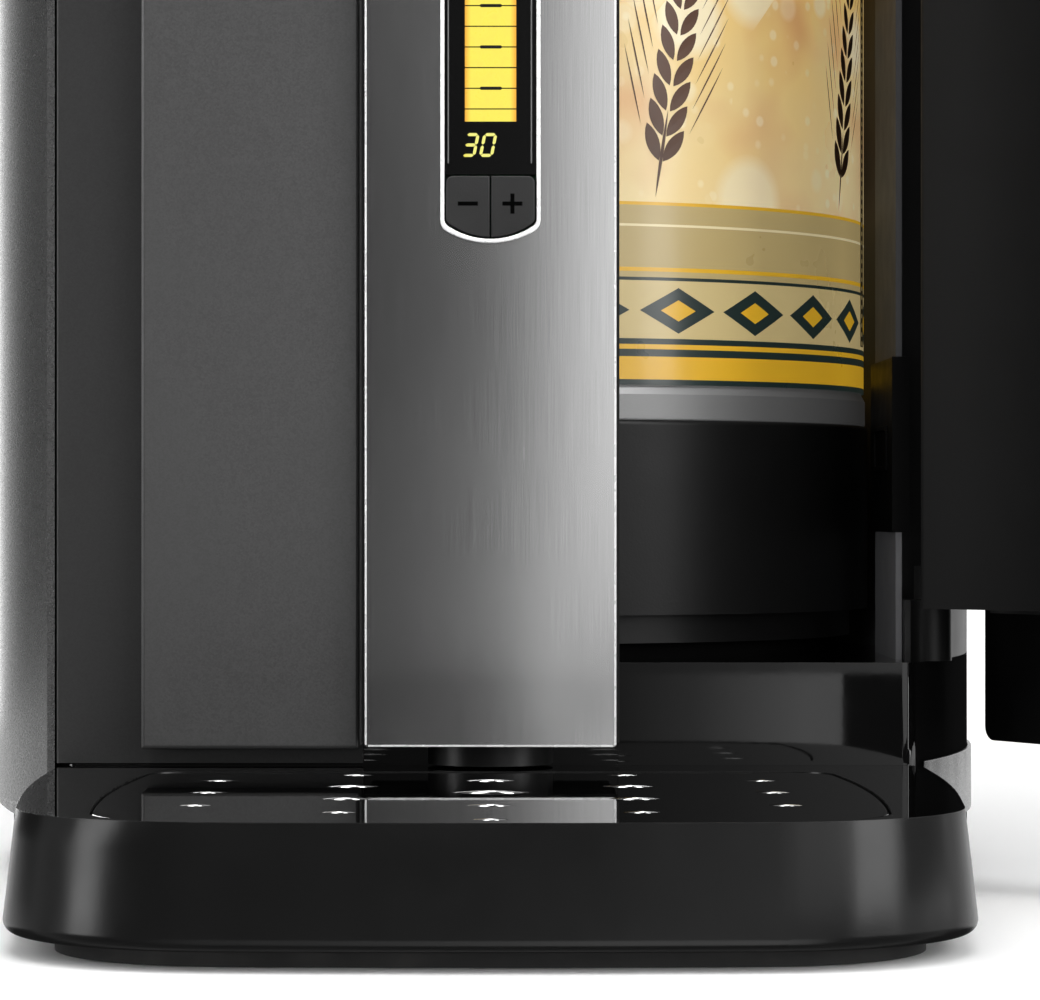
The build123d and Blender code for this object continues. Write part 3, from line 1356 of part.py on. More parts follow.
with BuildPart() as power_inlet:
    half_x = inlet_size[0] / 2
    half_z = inlet_size[1] / 2
    inlet_x, inlet_z = inlet_centre
    flange_x = half_x + inlet_flange_width
    flange_z = half_z + inlet_flange_width
    front_y = body_back_y - inlet_depth
    face_y = body_back_y + inlet_flange
    block((inlet_x - half_x, front_y, inlet_z - half_z), (inlet_x + half_x, body_back_y, inlet_z + half_z))
    block((inlet_x - flange_x, body_back_y, inlet_z - flange_z),
          (inlet_x + flange_x, face_y, inlet_z + flange_z))
    fillet(power_inlet.edges().filter_by(Axis.Y).group_by(Axis.Y)[-1], inlet_corner_radius)
    block((inlet_x - half_x + inlet_wall, front_y + inlet_wall, inlet_z - half_z + inlet_wall),
          (inlet_x + half_x - inlet_wall, face_y + 1, inlet_z + half_z - inlet_wall), Mode.SUBTRACT)
    with BuildSketch(Plane.XZ.offset(-front_y - inlet_wall)):
        with Locations((inlet_x, inlet_z)):
            with GridLocations(inlet_pin_pitch, 0, 2, 1):
                Circle(inlet_pin_radius)
    extrude(amount=-inlet_pin_length)
save(power_inlet, "power_inlet")

with BuildPart() as control_board:
    centre_x, centre_z = control_board_centre
    half_x = control_board_size[0] / 2
    half_z = control_board_size[1] / 2
    board_y = bulkhead_y + carcass_wall + standoff_height
    face_y = board_y + board_thickness
    block((centre_x - half_x, board_y, centre_z - half_z), (centre_x + half_x, face_y, centre_z + half_z))
    with Locations(facing_back(centre_x, board_y - standoff_height, centre_z)):
        spacing = [length - standoff_inset for length in control_board_size]
        with GridLocations(*spacing, 2, 2):
            Cylinder(standoff_radius, standoff_height, align=align_above)
    # relay, coil and connector
    for low_z, height in board_parts:
        block((centre_x - board_part_half, face_y, centre_z + low_z),
              (centre_x + board_part_half, face_y + height, centre_z + low_z + board_part_length))
save(control_board, "control_board")
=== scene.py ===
import json
import math

import bmesh
import bpy
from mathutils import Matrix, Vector


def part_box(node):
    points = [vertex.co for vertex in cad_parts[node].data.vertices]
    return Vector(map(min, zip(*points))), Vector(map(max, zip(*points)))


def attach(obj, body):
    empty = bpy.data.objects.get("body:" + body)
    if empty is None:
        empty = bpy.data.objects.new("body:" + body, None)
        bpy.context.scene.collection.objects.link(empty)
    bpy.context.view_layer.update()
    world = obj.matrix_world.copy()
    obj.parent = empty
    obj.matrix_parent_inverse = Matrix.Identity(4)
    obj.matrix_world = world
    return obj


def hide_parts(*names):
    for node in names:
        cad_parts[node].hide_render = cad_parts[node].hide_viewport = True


# Counter-top dispenser for a small party keg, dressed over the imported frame.
# Metres, in the frame of the CAD: +X right, +Y back, +Z up, keg on the Z axis.

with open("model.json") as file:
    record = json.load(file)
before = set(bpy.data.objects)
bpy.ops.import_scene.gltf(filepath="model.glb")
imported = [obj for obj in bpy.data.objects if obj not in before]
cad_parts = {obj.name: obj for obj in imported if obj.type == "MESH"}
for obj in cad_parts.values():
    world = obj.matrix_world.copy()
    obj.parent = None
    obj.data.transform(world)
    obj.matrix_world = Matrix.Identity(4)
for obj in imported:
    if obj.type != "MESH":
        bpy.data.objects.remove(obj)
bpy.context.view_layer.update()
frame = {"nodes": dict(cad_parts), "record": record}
nodes = frame["nodes"]
scene = bpy.context.scene

# ---------------------------------------------------------------- camera
PHOTO_WIDTH = 1040
FOCAL_PIXELS = 4000
SENSOR_WIDTH = 36.0
CAMERA_PLACE = (0.0, -1.0687, 0.0902)
FRAME_SHIFT = (0.0284, 0.0115)

camera_data = bpy.data.cameras.new("camera")
camera_data.sensor_width = SENSOR_WIDTH
camera_data.lens = SENSOR_WIDTH * FOCAL_PIXELS / PHOTO_WIDTH
camera_data.shift_x, camera_data.shift_y = FRAME_SHIFT
camera_data.clip_start = 0.01
camera = bpy.data.objects.new("camera", camera_data)
camera.location = CAMERA_PLACE
camera.rotation_euler = (math.pi / 2, 0, 0)
scene.collection.objects.link(camera)
scene.camera = camera


# ---------------------------------------------------------------- node helpers
class Nodes:
    """Short way to write a material's node tree."""

    def __init__(self, name):
        self.material = bpy.data.materials.new(name)
        self.material.use_nodes = True
        self.tree = self.material.node_tree
        self.shader = self.tree.nodes["Principled BSDF"]
        self.place = self.add("ShaderNodeTexCoord").outputs["Object"]

    def add(self, kind, inputs=None, **settings):
        node = self.tree.nodes.new(kind)
        for key, value in settings.items():
            setattr(node, key, value)
        for key, value in (inputs or {}).items():
            self.feed(node.inputs[key], value)
        return node

    def feed(self, socket, value):
        if isinstance(value, bpy.types.NodeSocket):
            self.tree.links.new(value, socket)
        else:
            socket.default_value = value

    def maths(self, operation, a, b=0.0, clamp=False):
        return self.add("ShaderNodeMath", {0: a, 1: b}, operation=operation, use_clamp=clamp).outputs[0]

    def mix(self, factor, a, b, mode="MIX"):
        node = self.add("ShaderNodeMix", data_type="RGBA", blend_type=mode)
        for socket, value in zip((node.inputs[0], node.inputs[6], node.inputs[7]), (factor, a, b)):
            self.feed(socket, value)
        return node.outputs[2]

    def ramp(self, value, low, high, start=0.0, end=1.0):
        node = self.add("ShaderNodeMapRange", {0: value, 1: low, 2: high, 3: start, 4: end})
        return node.outputs[0]

    def axes(self):
        """Object coordinates x, y and z."""
        return self.add("ShaderNodeSeparateXYZ", {0: self.place}).outputs

    def stretched(self, scale):
        return self.add("ShaderNodeMapping", {0: self.place, 3: scale}).outputs[0]

    def noise(self, size, detail=2.0, scale=(1, 1, 1), rough=0.5):
        where = self.place if scale == (1, 1, 1) else self.stretched(scale)
        return self.add("ShaderNodeTexNoise", {"Vector": where, "Scale": 1 / size, "Detail": detail,
                                               "Roughness": rough}).outputs[0]

    def bump(self, height, distance, strength=1.0, normal=None):
        inputs = {"Height": height, "Distance": distance, "Strength": strength}
        if normal is not None:
            inputs["Normal"] = normal
        return self.add("ShaderNodeBump", inputs).outputs[0]

    def edges(self, radius):
        """1 along sharp edges, 0 on flat ground."""
        soft = self.add("ShaderNodeBevel", {"Radius": radius}, samples=6).outputs[0]
        true = self.add("ShaderNodeNewGeometry").outputs["Normal"]
        dot = self.add("ShaderNodeVectorMath", {0: soft, 1: true}, operation="DOT_PRODUCT").outputs["Value"]
        return self.ramp(dot, 0.995, 0.86)

    def set(self, **inputs):
        for key, value in inputs.items():
            self.feed(self.shader.inputs[key.replace("_", " ")], value)


def rgb(value, tint=(1.0, 1.0, 1.0)):
    """Linear grey of an sRGB level from 0 to 255, with a tint."""
    level = value / 255
    level = level / 12.92 if level <= 0.04045 else ((level + 0.055) / 1.055) ** 2.4
    return tuple(level * t for t in tint) + (1.0,)


def srgb(red, green, blue):
    """Linear colour of three sRGB levels from 0 to 255."""
    return tuple(rgb(level)[0] for level in (red, green, blue)) + (1.0,)


def scaled(colour, factor):
    return tuple(min(1.0, c * factor) for c in colour[:3]) + (1.0,)


def plastic(name, colour, roughness, grain=0.0004, grain_depth=0.00002, smudge=0.05, wear=0.25, ior=1.5,
            lean=0.0):
    """Moulded plastic: fine texture, shifts of colour and gloss, rubbed edges; lean tips upright faces."""
    n = Nodes(name)
    cloud = n.noise(0.035, 4.0)
    patches = n.noise(0.009, 5.0)
    worn = n.edges(0.0006)
    base = n.mix(n.ramp(cloud, 0.3, 0.7), scaled(colour, 0.86), scaled(colour, 1.14))
    lighter = tuple(min(1.0, c * 1.6 + 0.012) for c in colour[:3]) + (1.0,)
    worn_here = n.maths("MULTIPLY", worn, n.ramp(patches, 0.35, 0.65, 0.2, 1.0))
    n.set(Base_Color=n.mix(n.maths("MULTIPLY", worn_here, wear), base, lighter))
    gloss = n.ramp(patches, 0.3, 0.7, roughness - smudge, roughness + smudge)
    n.set(Roughness=n.maths("ADD", gloss, n.maths("MULTIPLY", worn_here, 0.08)))
    tooth = n.noise(grain, 2.0)
    tilt = n.bump(n.maths("MULTIPLY", n.axes()[2], -lean), 1.0) if lean else None
    n.set(Normal=n.bump(tooth, grain_depth, 1.0, tilt))
    n.set(IOR=ior)
    return n.material


def metal(name, colour, roughness, brush=(1, 1, 1), brush_size=0.0003, brush_depth=0.00001, smudge=0.05,
          spread=0.08):
    """Bare or plated metal with a grain that can be stretched into brush lines."""
    n = Nodes(name)
    lines = n.noise(brush_size, 3.0, brush, 0.65)
    cloud = n.noise(0.05, 4.0)
    base = n.mix(n.ramp(lines, 0.3, 0.7), scaled(colour, 1 - spread), scaled(colour, 1 + spread))
    base = n.mix(n.ramp(cloud, 0.3, 0.7, 0.0, 0.35), base, scaled(colour, 0.9))
    n.set(Base_Color=base, Roughness=n.ramp(lines, 0.25, 0.75, roughness - smudge, roughness + smudge))
    n.set(Normal=n.bump(lines, brush_depth))
    n.set(Metallic=1.0)
    return n.material


def paint(name, colour, roughness, flake=0.5, coat=0.3, ripple=0.000012):
    """Metallic paint: fine bright flakes under a clear coat."""
    n = Nodes(name)
    cells = n.add("ShaderNodeTexVoronoi", {"Vector": n.place, "Scale": 2600.0}).outputs["Color"]
    flakes = n.add("ShaderNodeSeparateColor", {0: cells}).outputs[0]
    cloud = n.noise(0.06, 3.0)
    base = n.mix(n.ramp(flakes, 0.0, 1.0, 0.0, flake), scaled(colour, 0.9), scaled(colour, 1.25))
    n.set(Base_Color=n.mix(n.ramp(cloud, 0.3, 0.7, 0.0, 0.3), base, scaled(colour, 0.88)))
    n.set(Roughness=n.ramp(flakes, 0.0, 1.0, roughness - 0.05, roughness + 0.07))
    n.set(Normal=n.bump(n.noise(0.0007, 3.0), ripple))
    n.set(Metallic=0.75)
    n.set(Coat_Weight=coat)
    n.set(Coat_Roughness=0.12)
    return n.material


def foam(name, colour):
    n = Nodes(name)
    beads = n.add("ShaderNodeTexVoronoi", {"Vector": n.place, "Scale": 320.0}).outputs["Distance"]
    n.set(Base_Color=n.mix(n.ramp(beads, 0.0, 0.6), colour, scaled(colour, 0.82)))
    n.set(Roughness=n.ramp(n.noise(0.004, 3.0), 0.3, 0.7, 0.78, 0.95))
    n.set(Normal=n.bump(beads, 0.0004, 0.6))
    return n.material


def rubber(name, colour, roughness=0.75):
    n = Nodes(name)
    dust = n.noise(0.012, 5.0)
    n.set(Base_Color=n.mix(n.ramp(dust, 0.45, 0.75, 0.0, 0.5), colour, rgb(58, (1.0, 0.98, 0.95))))
    n.set(Roughness=n.ramp(dust, 0.3, 0.7, roughness - 0.08, roughness + 0.1))
    n.set(Normal=n.bump(n.noise(0.0005, 3.0), 0.00003))
    return n.material


def milky(name, colour):
    n = Nodes(name)
    cloud = n.noise(0.004, 3.0)
    n.set(Base_Color=n.mix(n.ramp(cloud, 0.3, 0.7), colour, scaled(colour, 0.9)))
    n.set(Roughness=n.ramp(cloud, 0.3, 0.7, 0.22, 0.36))
    n.set(Normal=n.bump(n.noise(0.0012, 2.0), 0.00003))
    n.set(Transmission_Weight=0.35)
    n.set(IOR=1.42)
    return n.material


def circuit(name):
    """Green solder mask with copper runs under it."""
    n = Nodes(name)
    cells = n.add("ShaderNodeTexVoronoi", {"Vector": n.place, "Scale": 260.0}, distance="MANHATTAN")
    runs = n.ramp(cells.outputs["Distance"], 0.42, 0.46)
    n.set(Base_Color=n.mix(runs, rgb(28, (0.35, 1.6, 0.6)), rgb(52, (0.4, 1.6, 0.7))))
    n.set(Roughness=n.ramp(n.noise(0.003, 3.0), 0.3, 0.7, 0.32, 0.48))
    n.set(Normal=n.bump(runs, 0.00004))
    return n.material


SHEET_BOW = 2.5


def brushed_sheet(name):
    """Upright brushing on a sheet with a shallow sideways bow."""
    n = Nodes(name)
    lines = n.noise(0.0002, 2.0, (1, 1, 0.008), 0.6)
    smudges = n.noise(0.06, 4.0)
    n.set(Base_Color=n.mix(n.ramp(lines, 0.3, 0.7), rgb(190), rgb(202)))
    gloss = n.maths("ADD", n.ramp(lines, 0.25, 0.75, 0.235, 0.265), n.ramp(smudges, 0.35, 0.7, -0.01, 0.015))
    x = n.axes()[0]
    bow = n.maths("MULTIPLY", n.maths("MULTIPLY", x, x), -SHEET_BOW)
    curved = n.bump(bow, 1.0)
    n.set(Roughness=gloss, Normal=n.bump(lines, 0.0000015, 1.0, curved))
    n.set(Metallic=1.0)
    return n.material


LABEL_RADIUS = 0.0993
# painted light: strength of the glow on the sleeve's right side, and the turns over which it grows
LABEL_PAINTED_GLOW, LABEL_PAINTED_GLOW_TURNS = 0.55, (0.75, 1.15)
LABEL_GREEN, LABEL_GOLD = srgb(30, 44, 42), srgb(216, 168, 40)
LABEL_TAN, LABEL_CREAM = srgb(178, 158, 108), srgb(222, 208, 166)
LABEL_PALE_Z = (0.166, 0.25)
LOZENGE_Z, LOZENGE_PITCH, LOZENGE_STRETCH = 0.1395, 0.024, 1.9
LOZENGES = ((0.0056, LABEL_GREEN), (0.0026, LABEL_GOLD))
SEAM_TURN, SEAM_HALF_TURN, SEAM_DASH_HALF_TURN, SEAM_LOW_Z = 1.385, 0.035, 0.012, 0.1335
# size of the cells, radius and softness as shares of it, strength
BUBBLES = ((0.027, 0.3, 0.14, 0.75), (0.013, 0.22, 0.1, 0.5), (0.005, 0.2, 0.12, 0.4))
# low edge, high edge, colour; later bands lie over earlier ones
LABEL_BANDS = (
    (0.1472, 0.1660, LABEL_TAN), (0.1652, 0.1660, LABEL_GOLD), (0.1600, 0.1606, LABEL_CREAM),
    (0.1490, 0.1500, LABEL_GOLD), (0.1320, 0.1472, srgb(196, 176, 124)), (0.1468, 0.1476, LABEL_GREEN),
    (0.1312, 0.1326, LABEL_GREEN), (0.1300, 0.1312, LABEL_GOLD), (0.1282, 0.1300, LABEL_GREEN),
    (0.1226, 0.1282, LABEL_GOLD), (0.1205, 0.1226, LABEL_GREEN))



def keg_label():
    """Printed sleeve: amber field with pale bubbles over bands and lozenges; painted light glows on its right
    side.
    """
    n = Nodes("keg_label")
    x, y, z = n.axes()
    turn = n.maths("ARCTAN2", x, n.maths("MULTIPLY", y, -1.0))
    along = n.maths("MULTIPLY", turn, LABEL_RADIUS)
    flat = n.add("ShaderNodeCombineXYZ", {0: along, 1: z}).outputs[0]

    def clouds(size, low, high, strength):
        where = {"Vector": flat, "Scale": 1 / size, "Detail": 2.0}
        return n.ramp(n.add("ShaderNodeTexNoise", where).outputs[0], low, high, 0.0, strength)

    def discs(size, radius, soft, strength):
        cells = n.add("ShaderNodeTexVoronoi", {"Vector": flat, "Scale": 1 / size, "Randomness": 0.9})
        pick = n.add("ShaderNodeSeparateColor", {0: cells.outputs["Color"]}).outputs[0]
        disc = n.ramp(cells.outputs["Distance"], radius + soft, radius, 0.0, strength)
        return n.maths("MULTIPLY", disc, n.ramp(pick, 0.3, 0.8))

    field = n.mix(clouds(0.05, 0.35, 0.6, 1.0), srgb(228, 200, 140), srgb(236, 192, 104))
    field = n.mix(clouds(0.034, 0.5, 0.68, 0.9), field, srgb(212, 140, 72))
    field = n.mix(n.ramp(z, *LABEL_PALE_Z, 0.55, 0.0), field, LABEL_CREAM)
    for size, radius, soft, strength in BUBBLES:
        field = n.mix(discs(size, radius, soft, strength), field, srgb(240, 232, 202))
    for low, high, colour in LABEL_BANDS:
        inside = n.maths("MULTIPLY", n.maths("GREATER_THAN", z, low), n.maths("LESS_THAN", z, high))
        field = n.mix(inside, field, colour)
    for half_height, colour in LOZENGES:
        half_width = half_height * LOZENGE_STRETCH
        across = n.maths("DIVIDE", n.maths("PINGPONG", along, LOZENGE_PITCH / 2), half_width)
        upright = n.maths("DIVIDE", n.maths("ABSOLUTE", n.maths("SUBTRACT", z, LOZENGE_Z)), half_height)
        field = n.mix(n.maths("LESS_THAN", n.maths("ADD", across, upright), 1.0), field, colour)
    seam = n.maths("LESS_THAN", n.maths("ABSOLUTE", n.maths("SUBTRACT", turn, SEAM_TURN)), SEAM_HALF_TURN)
    dashes = n.maths("LESS_THAN", n.maths("PINGPONG", z, 0.0012), 0.00055)
    middle = n.maths("ABSOLUTE", n.maths("SUBTRACT", turn, SEAM_TURN))
    middle = n.maths("LESS_THAN", middle, SEAM_DASH_HALF_TURN)
    seam = n.maths("MULTIPLY", seam, n.maths("GREATER_THAN", z, SEAM_LOW_Z))
    field = n.mix(seam, field, srgb(30, 26, 16))
    field = n.mix(n.maths("MULTIPLY", seam, n.maths("MULTIPLY", middle, dashes)), field, srgb(150, 134, 90))
    fine = n.noise(0.0008, 2.0)
    n.set(Base_Color=field, Roughness=n.ramp(n.noise(0.02, 3.0), 0.3, 0.7, 0.26, 0.38))
    n.set(Normal=n.bump(fine, 0.000006))
    # painted light: the print glows by itself, more towards the keg's right side
    n.set(Emission_Color=n.mix(n.ramp(turn, *LABEL_PAINTED_GLOW_TURNS), (0, 0, 0, 1), field))
    n.set(Emission_Strength=LABEL_PAINTED_GLOW)
    n.set(Coat_Weight=0.25)
    n.set(Coat_Roughness=0.15)
    return n.material


KEG_PAINTED_SHEEN = 0.055


def keg_steel():
    """Drawn steel with a painted sheen: it glows faintly on the keg's right side."""
    n = Nodes("keg_steel")
    lines = n.noise(0.0009, 3.0, (1, 1, 12), 0.65)
    cloud = n.ramp(n.noise(0.05, 4.0), 0.3, 0.7, 0.0, 0.35)
    n.set(Base_Color=n.mix(cloud, n.mix(n.ramp(lines, 0.3, 0.7), rgb(136), rgb(144)), rgb(133)))
    n.set(Roughness=n.ramp(lines, 0.25, 0.75, 0.45, 0.55), Normal=n.bump(lines, 0.000004))
    x, y, _ = n.axes()
    turn = n.maths("ARCTAN2", x, n.maths("MULTIPLY", y, -1.0))
    # painted sheen: the steel glows faintly on the keg's right side
    painted_sheen = n.maths("MULTIPLY", n.ramp(turn, 0.3, 0.62), n.ramp(turn, 0.65, 1.3, 1.0, 0.3))
    n.set(Emission_Color=n.mix(painted_sheen, (0, 0, 0, 1), (1, 1, 1, 1)))
    n.set(Emission_Strength=KEG_PAINTED_SHEEN)
    n.set(Metallic=1.0)
    return n.material


DOOR_SHADE_X, CHAMBER_SHADE_Z = (0.104, 0.138), (0.08, 0.13)


def shaded_liner():
    """Black door lining with painted shade: paler towards the hinge."""
    n = Nodes("door_lining")
    x = n.axes()[0]
    patches = n.noise(0.009, 5.0)
    # painted shade: pale near the hinge, darker further along x
    n.set(Base_Color=n.mix(n.ramp(x, *DOOR_SHADE_X), rgb(26), rgb(2)))
    n.set(Roughness=n.ramp(patches, 0.3, 0.7, 0.45, 0.55), Normal=n.bump(n.noise(0.0006, 2.0), 0.00002))
    n.set(IOR=1.12)
    return n.material


def chamber_grey():
    """Grey chamber lining with painted light: paler towards its foot."""
    n = Nodes("chamber_grey")
    z = n.axes()[2]
    patches = n.noise(0.009, 5.0)
    pale, dark = (rgb(level, (1.0, 1.0, 1.04)) for level in (104, 66))
    # painted light: paler at the foot, darker higher up
    n.set(Base_Color=n.mix(n.ramp(z, *CHAMBER_SHADE_Z), pale, dark))
    n.set(Roughness=n.ramp(patches, 0.3, 0.7, 0.55, 0.65), Normal=n.bump(n.noise(0.0004, 2.0), 0.00002))
    n.set(IOR=1.12)
    return n.material


def trim_and_painted_highlight(name, metallic):
    """Pale trim, near white in soft light; its whiteness is partly the trim's own and partly a painted
    highlight.
    """
    n = Nodes(name)
    cloud = n.noise(0.004, 3.0)
    n.set(Base_Color=n.mix(n.ramp(cloud, 0.3, 0.7), rgb(228), rgb(240)))
    n.set(Roughness=n.ramp(cloud, 0.3, 0.7, 0.24, 0.32), Normal=n.bump(n.noise(0.0006, 2.0), 0.000002))
    n.set(Metallic=metallic)
    return n.material


MATERIALS = {
    "black_satin_plastic": plastic("black_satin", rgb(13), 0.38, 0.0006, 0.00002, smudge=0.02, ior=1.34),
    "black_gloss_plastic": plastic("black_gloss", rgb(6), 0.06, 0.0012, 0.000001, smudge=0.02, wear=0.1),
    "grey_metallic_shell": paint("silver_paint", rgb(106), 0.28, 0.3, 0.1, 0.000003),
    "grey_wing_metal": paint("grey_paint", rgb(85), 0.45, coat=0.05),
    "brushed_sheet": brushed_sheet("brushed_sheet"),
    "chrome_trim": metal("chrome", rgb(240), 0.12, brush_size=0.002, brush_depth=0.000003, smudge=0.03,
                         spread=0.03),
    "grey_liner_plastic": plastic("grey_liner", rgb(76, (1.0, 1.0, 1.04)), 0.6, ior=1.12),
    "white_foam": foam("foam", rgb(228, (1.0, 0.99, 0.94))),
    "aluminium_plain": metal("aluminium", rgb(196), 0.35, (1, 0.05, 1), 0.0006, spread=0.06),
    "rubber_black": rubber("rubber", rgb(15)),
    "keg_metal": metal("keg_metal", rgb(150), 0.5, (1, 1, 12), 0.0009, brush_depth=0.000004, spread=0.05),
    "keg_label_print": keg_label(),
    "ceramic_white": plastic("ceramic", rgb(226), 0.5),
    "board_green": circuit("circuit"),
    "display_glass": plastic("display_glass", rgb(6), 0.05, 0.002, 0.000001, smudge=0.02, wear=0.0),
    "key_plastic": plastic("key_plastic", rgb(36), 0.42, 0.0005, 0.00002, ior=1.35),
    "clear_tube": milky("milky_tube", rgb(222)),
    "steel_plain": metal("steel", rgb(188), 0.25),
    "white_plastic": plastic("white_plastic", rgb(222, (1.0, 0.99, 0.96)), 0.35, wear=0.0),
}
for part in frame["record"]["subparts"]:
    cad = nodes[part["node"]]
    cad.data.materials.clear()
    cad.data.materials.append(MATERIALS[part["material_slot"]])

DEEP_BLACK = plastic("deep_black", rgb(6), 0.5, 0.0006, 0.00002, wear=0.1, ior=1.15)
MATT_BLACK = plastic("matt_black", rgb(11), 0.8, 0.0006, 0.00002, wear=0.05, ior=1.01)
TRAY_GLOSS = plastic("tray_gloss", rgb(6), 0.02, 0.0012, 0.0000005, smudge=0.008, wear=0.05, ior=1.7)
OWN_MATERIALS = {
    "door_panel": DEEP_BLACK,
    "door_cover": DEEP_BLACK,
    "door_liner": shaded_liner(),
    # the bezel's near-white trim also paints its highlight
    "display_bezel": trim_and_painted_highlight("bezel_trim", 0.3),
    "front_frame": paint("frame_paint", rgb(68), 0.42, coat=0.05),
    "base_housing": plastic("base_gloss", rgb(6), 0.03, 0.0012, 0.0000005, smudge=0.01, wear=0.05,
                            lean=0.012),
    "keg_shell": keg_steel(),
    "chamber_liner": chamber_grey(),
    "drip_tray": plastic("tray_satin", rgb(13), 0.25, 0.0006, 0.00001, smudge=0.02, ior=1.35),
}
for name, own in OWN_MATERIALS.items():
    nodes[name].data.materials[0] = own


def second_material(name, material, chosen):
    """Gives the polygons that pass the test a second material."""
    data = nodes[name].data
    data.materials.append(material)
    for polygon in data.polygons:
        if chosen(polygon.center, polygon.normal):
            polygon.material_index = 1


# the base is matt along its flanks and on the ring under the keg, the tray glossy on top
FLANK_X, FLANK_TURN, DECK_Z, RIM_Z = 0.1, 0.86, 0.055, 0.028
second_material("base_housing", MATT_BLACK, lambda c, n: abs(n.z) < 0.5 and (
    abs(c.x) > FLANK_X and abs(n.x) > FLANK_TURN or c.z > DECK_Z))
second_material("drip_tray", TRAY_GLOSS, lambda c, n: n.z > 0.9 and c.z > RIM_Z)

# the right shell is dark below a set height at its foot
FOOT_Z, FOOT_EDGE = 0.067, 0.0004
foot = Nodes("silver_with_dark_foot")
height = foot.axes()[2]
above = foot.ramp(height, FOOT_Z - FOOT_EDGE, FOOT_Z + FOOT_EDGE)
foot.set(Base_Color=foot.mix(above, rgb(10), foot.mix(foot.noise(0.001, 2.0), rgb(112), rgb(124))))
foot.set(Metallic=foot.maths("MULTIPLY", above, 0.75))
foot.set(Roughness=foot.ramp(foot.noise(0.002), 0.3, 0.7, 0.32, 0.4))
foot.set(Normal=foot.bump(foot.noise(0.0007, 3.0), 0.000012))
foot.set(IOR=1.05)
nodes["right_side_shell"].data.materials[0] = foot.material


# ---------------------------------------------------------------- mesh helpers
def add_object(name, data, body, material, replaces=()):
    """Puts new data in the scene on a body, with its material, and hides the nodes it stands for."""
    obj = bpy.data.objects.new(name, data)
    scene.collection.objects.link(obj)
    data.materials.append(material)
    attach(obj, body)
    if replaces:
        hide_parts(*replaces)
    return obj


def mesh_from(name, points, faces, smooth=True):
    data = bpy.data.meshes.new(name)
    data.from_pydata([tuple(p) for p in points], [], faces)
    data.update()
    for polygon in data.polygons:
        polygon.use_smooth = smooth
    return data


def prism(outline, low, high, place):
    """Points and faces of a closed outline pushed from low to high; place maps (u, v, w) to the frame."""
    count = len(outline)
    points = [place(u, v, w) for w in (low, high) for u, v in outline]
    faces = [tuple(range(count - 1, -1, -1)), tuple(range(count, 2 * count))]
    faces += [(i, (i + 1) % count, count + (i + 1) % count, count + i) for i in range(count)]
    return points, faces


def round_edges(obj, width, segments=3, angle=35.0):
    """Rounded edges that catch the light."""
    if obj.name in nodes:
        obj.modifiers.new("seams", "WELD").merge_threshold = 0.000002
    modifier = obj.modifiers.new("edges", "BEVEL")
    modifier.width = width
    modifier.segments = segments
    modifier.limit_method = "ANGLE"
    modifier.angle_limit = math.radians(angle)
    modifier.harden_normals = True
    return obj


def joined(name, shapes, smooth=False):
    """One mesh from several (points, faces) shapes."""
    points, faces = [], []
    for some_points, some_faces in shapes:
        start = len(points)
        points += some_points
        faces += [tuple(start + i for i in face) for face in some_faces]
    return mesh_from(name, points, faces, smooth)


MM = 0.001

# ---------------------------------------------------------------- rounded edges on the frame's own pieces
for name, width in (("column_panel", 0.3), ("drip_tray", 0.6), ("base_housing", 0.8), ("left_wing", 0.3),
                    ("door_panel", 0.5), ("door_cover", 0.4), ("right_sill", 0.3),
                    ("display_bezel", 0.35), ("minus_key", 0.2), ("plus_key", 0.2)):
    round_edges(nodes[name], width * MM)

# ---------------------------------------------------------------- display
FACE_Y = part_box("display_window")[0].y
KEY_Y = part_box("minus_key")[0].y
PRINT_DEPTH = 0.00005
BAR_LEFT, BAR_RIGHT, BAR_LOW, BAR_TOP = -6.0 * MM, 6.05 * MM, 181.8 * MM, 254.0 * MM
BAR_STEP, BAR_FIRST, BAR_LINE = 4.85 * MM, 184.75 * MM, 0.28 * MM
DASH_LEFT, DASH_RIGHT, DASH_HEIGHT = -2.5 * MM, 2.7 * MM, 0.75 * MM
DIGIT_LOW, DIGIT_HEIGHT, DIGIT_WIDTH, DIGIT_STROKE = 173.5 * MM, 5.6 * MM, 3.3 * MM, 0.72 * MM
DIGIT_LEFTS = (-6.9 * MM, -2.75 * MM)
DIGIT_SLANT, DIGIT_GAP = 0.2, 0.08 * MM


def glow(name, inner, outer, strength):
    """Lit display colour, warmer towards both sides of the bar."""
    n = Nodes(name)
    x = n.axes()[0]
    side = n.ramp(n.maths("ABSOLUTE", x), 0.0046, 0.006)
    cloud = n.ramp(n.noise(0.002, 3.0), 0.3, 0.7, 0.0, 0.12)
    colour = n.mix(n.maths("ADD", side, cloud, True), inner, outer)
    n.set(Base_Color=n.mix(0.06, rgb(0), colour), Emission_Color=colour)
    n.set(Roughness=n.ramp(cloud, 0.0, 0.12, 0.25, 0.35))
    n.set(Normal=n.bump(n.noise(0.0006, 2.0), 0.000004))
    n.set(Emission_Strength=strength)
    return n.material


def facing(y):
    """Maps (x, z, depth towards the viewer) onto a plane that faces -Y."""
    return lambda u, v, w: (u, y - w, v)


def rectangle(x0, x1, z0, z1):
    return [(x0, z0), (x1, z0), (x1, z1), (x0, z1)]


def bar_pieces():
    """Lit cells of the level bar, parted by thin lines."""
    edges = [BAR_LOW]
    z = BAR_FIRST
    while z < BAR_TOP - BAR_STEP / 2:
        edges += [z - BAR_LINE / 2, z + BAR_LINE / 2]
        z += BAR_STEP
    edges.append(BAR_TOP)
    place = facing(FACE_Y)
    return [prism(rectangle(BAR_LEFT, BAR_RIGHT, low, high), 0.0, PRINT_DEPTH, place)
            for low, high in zip(edges[::2], edges[1::2])]


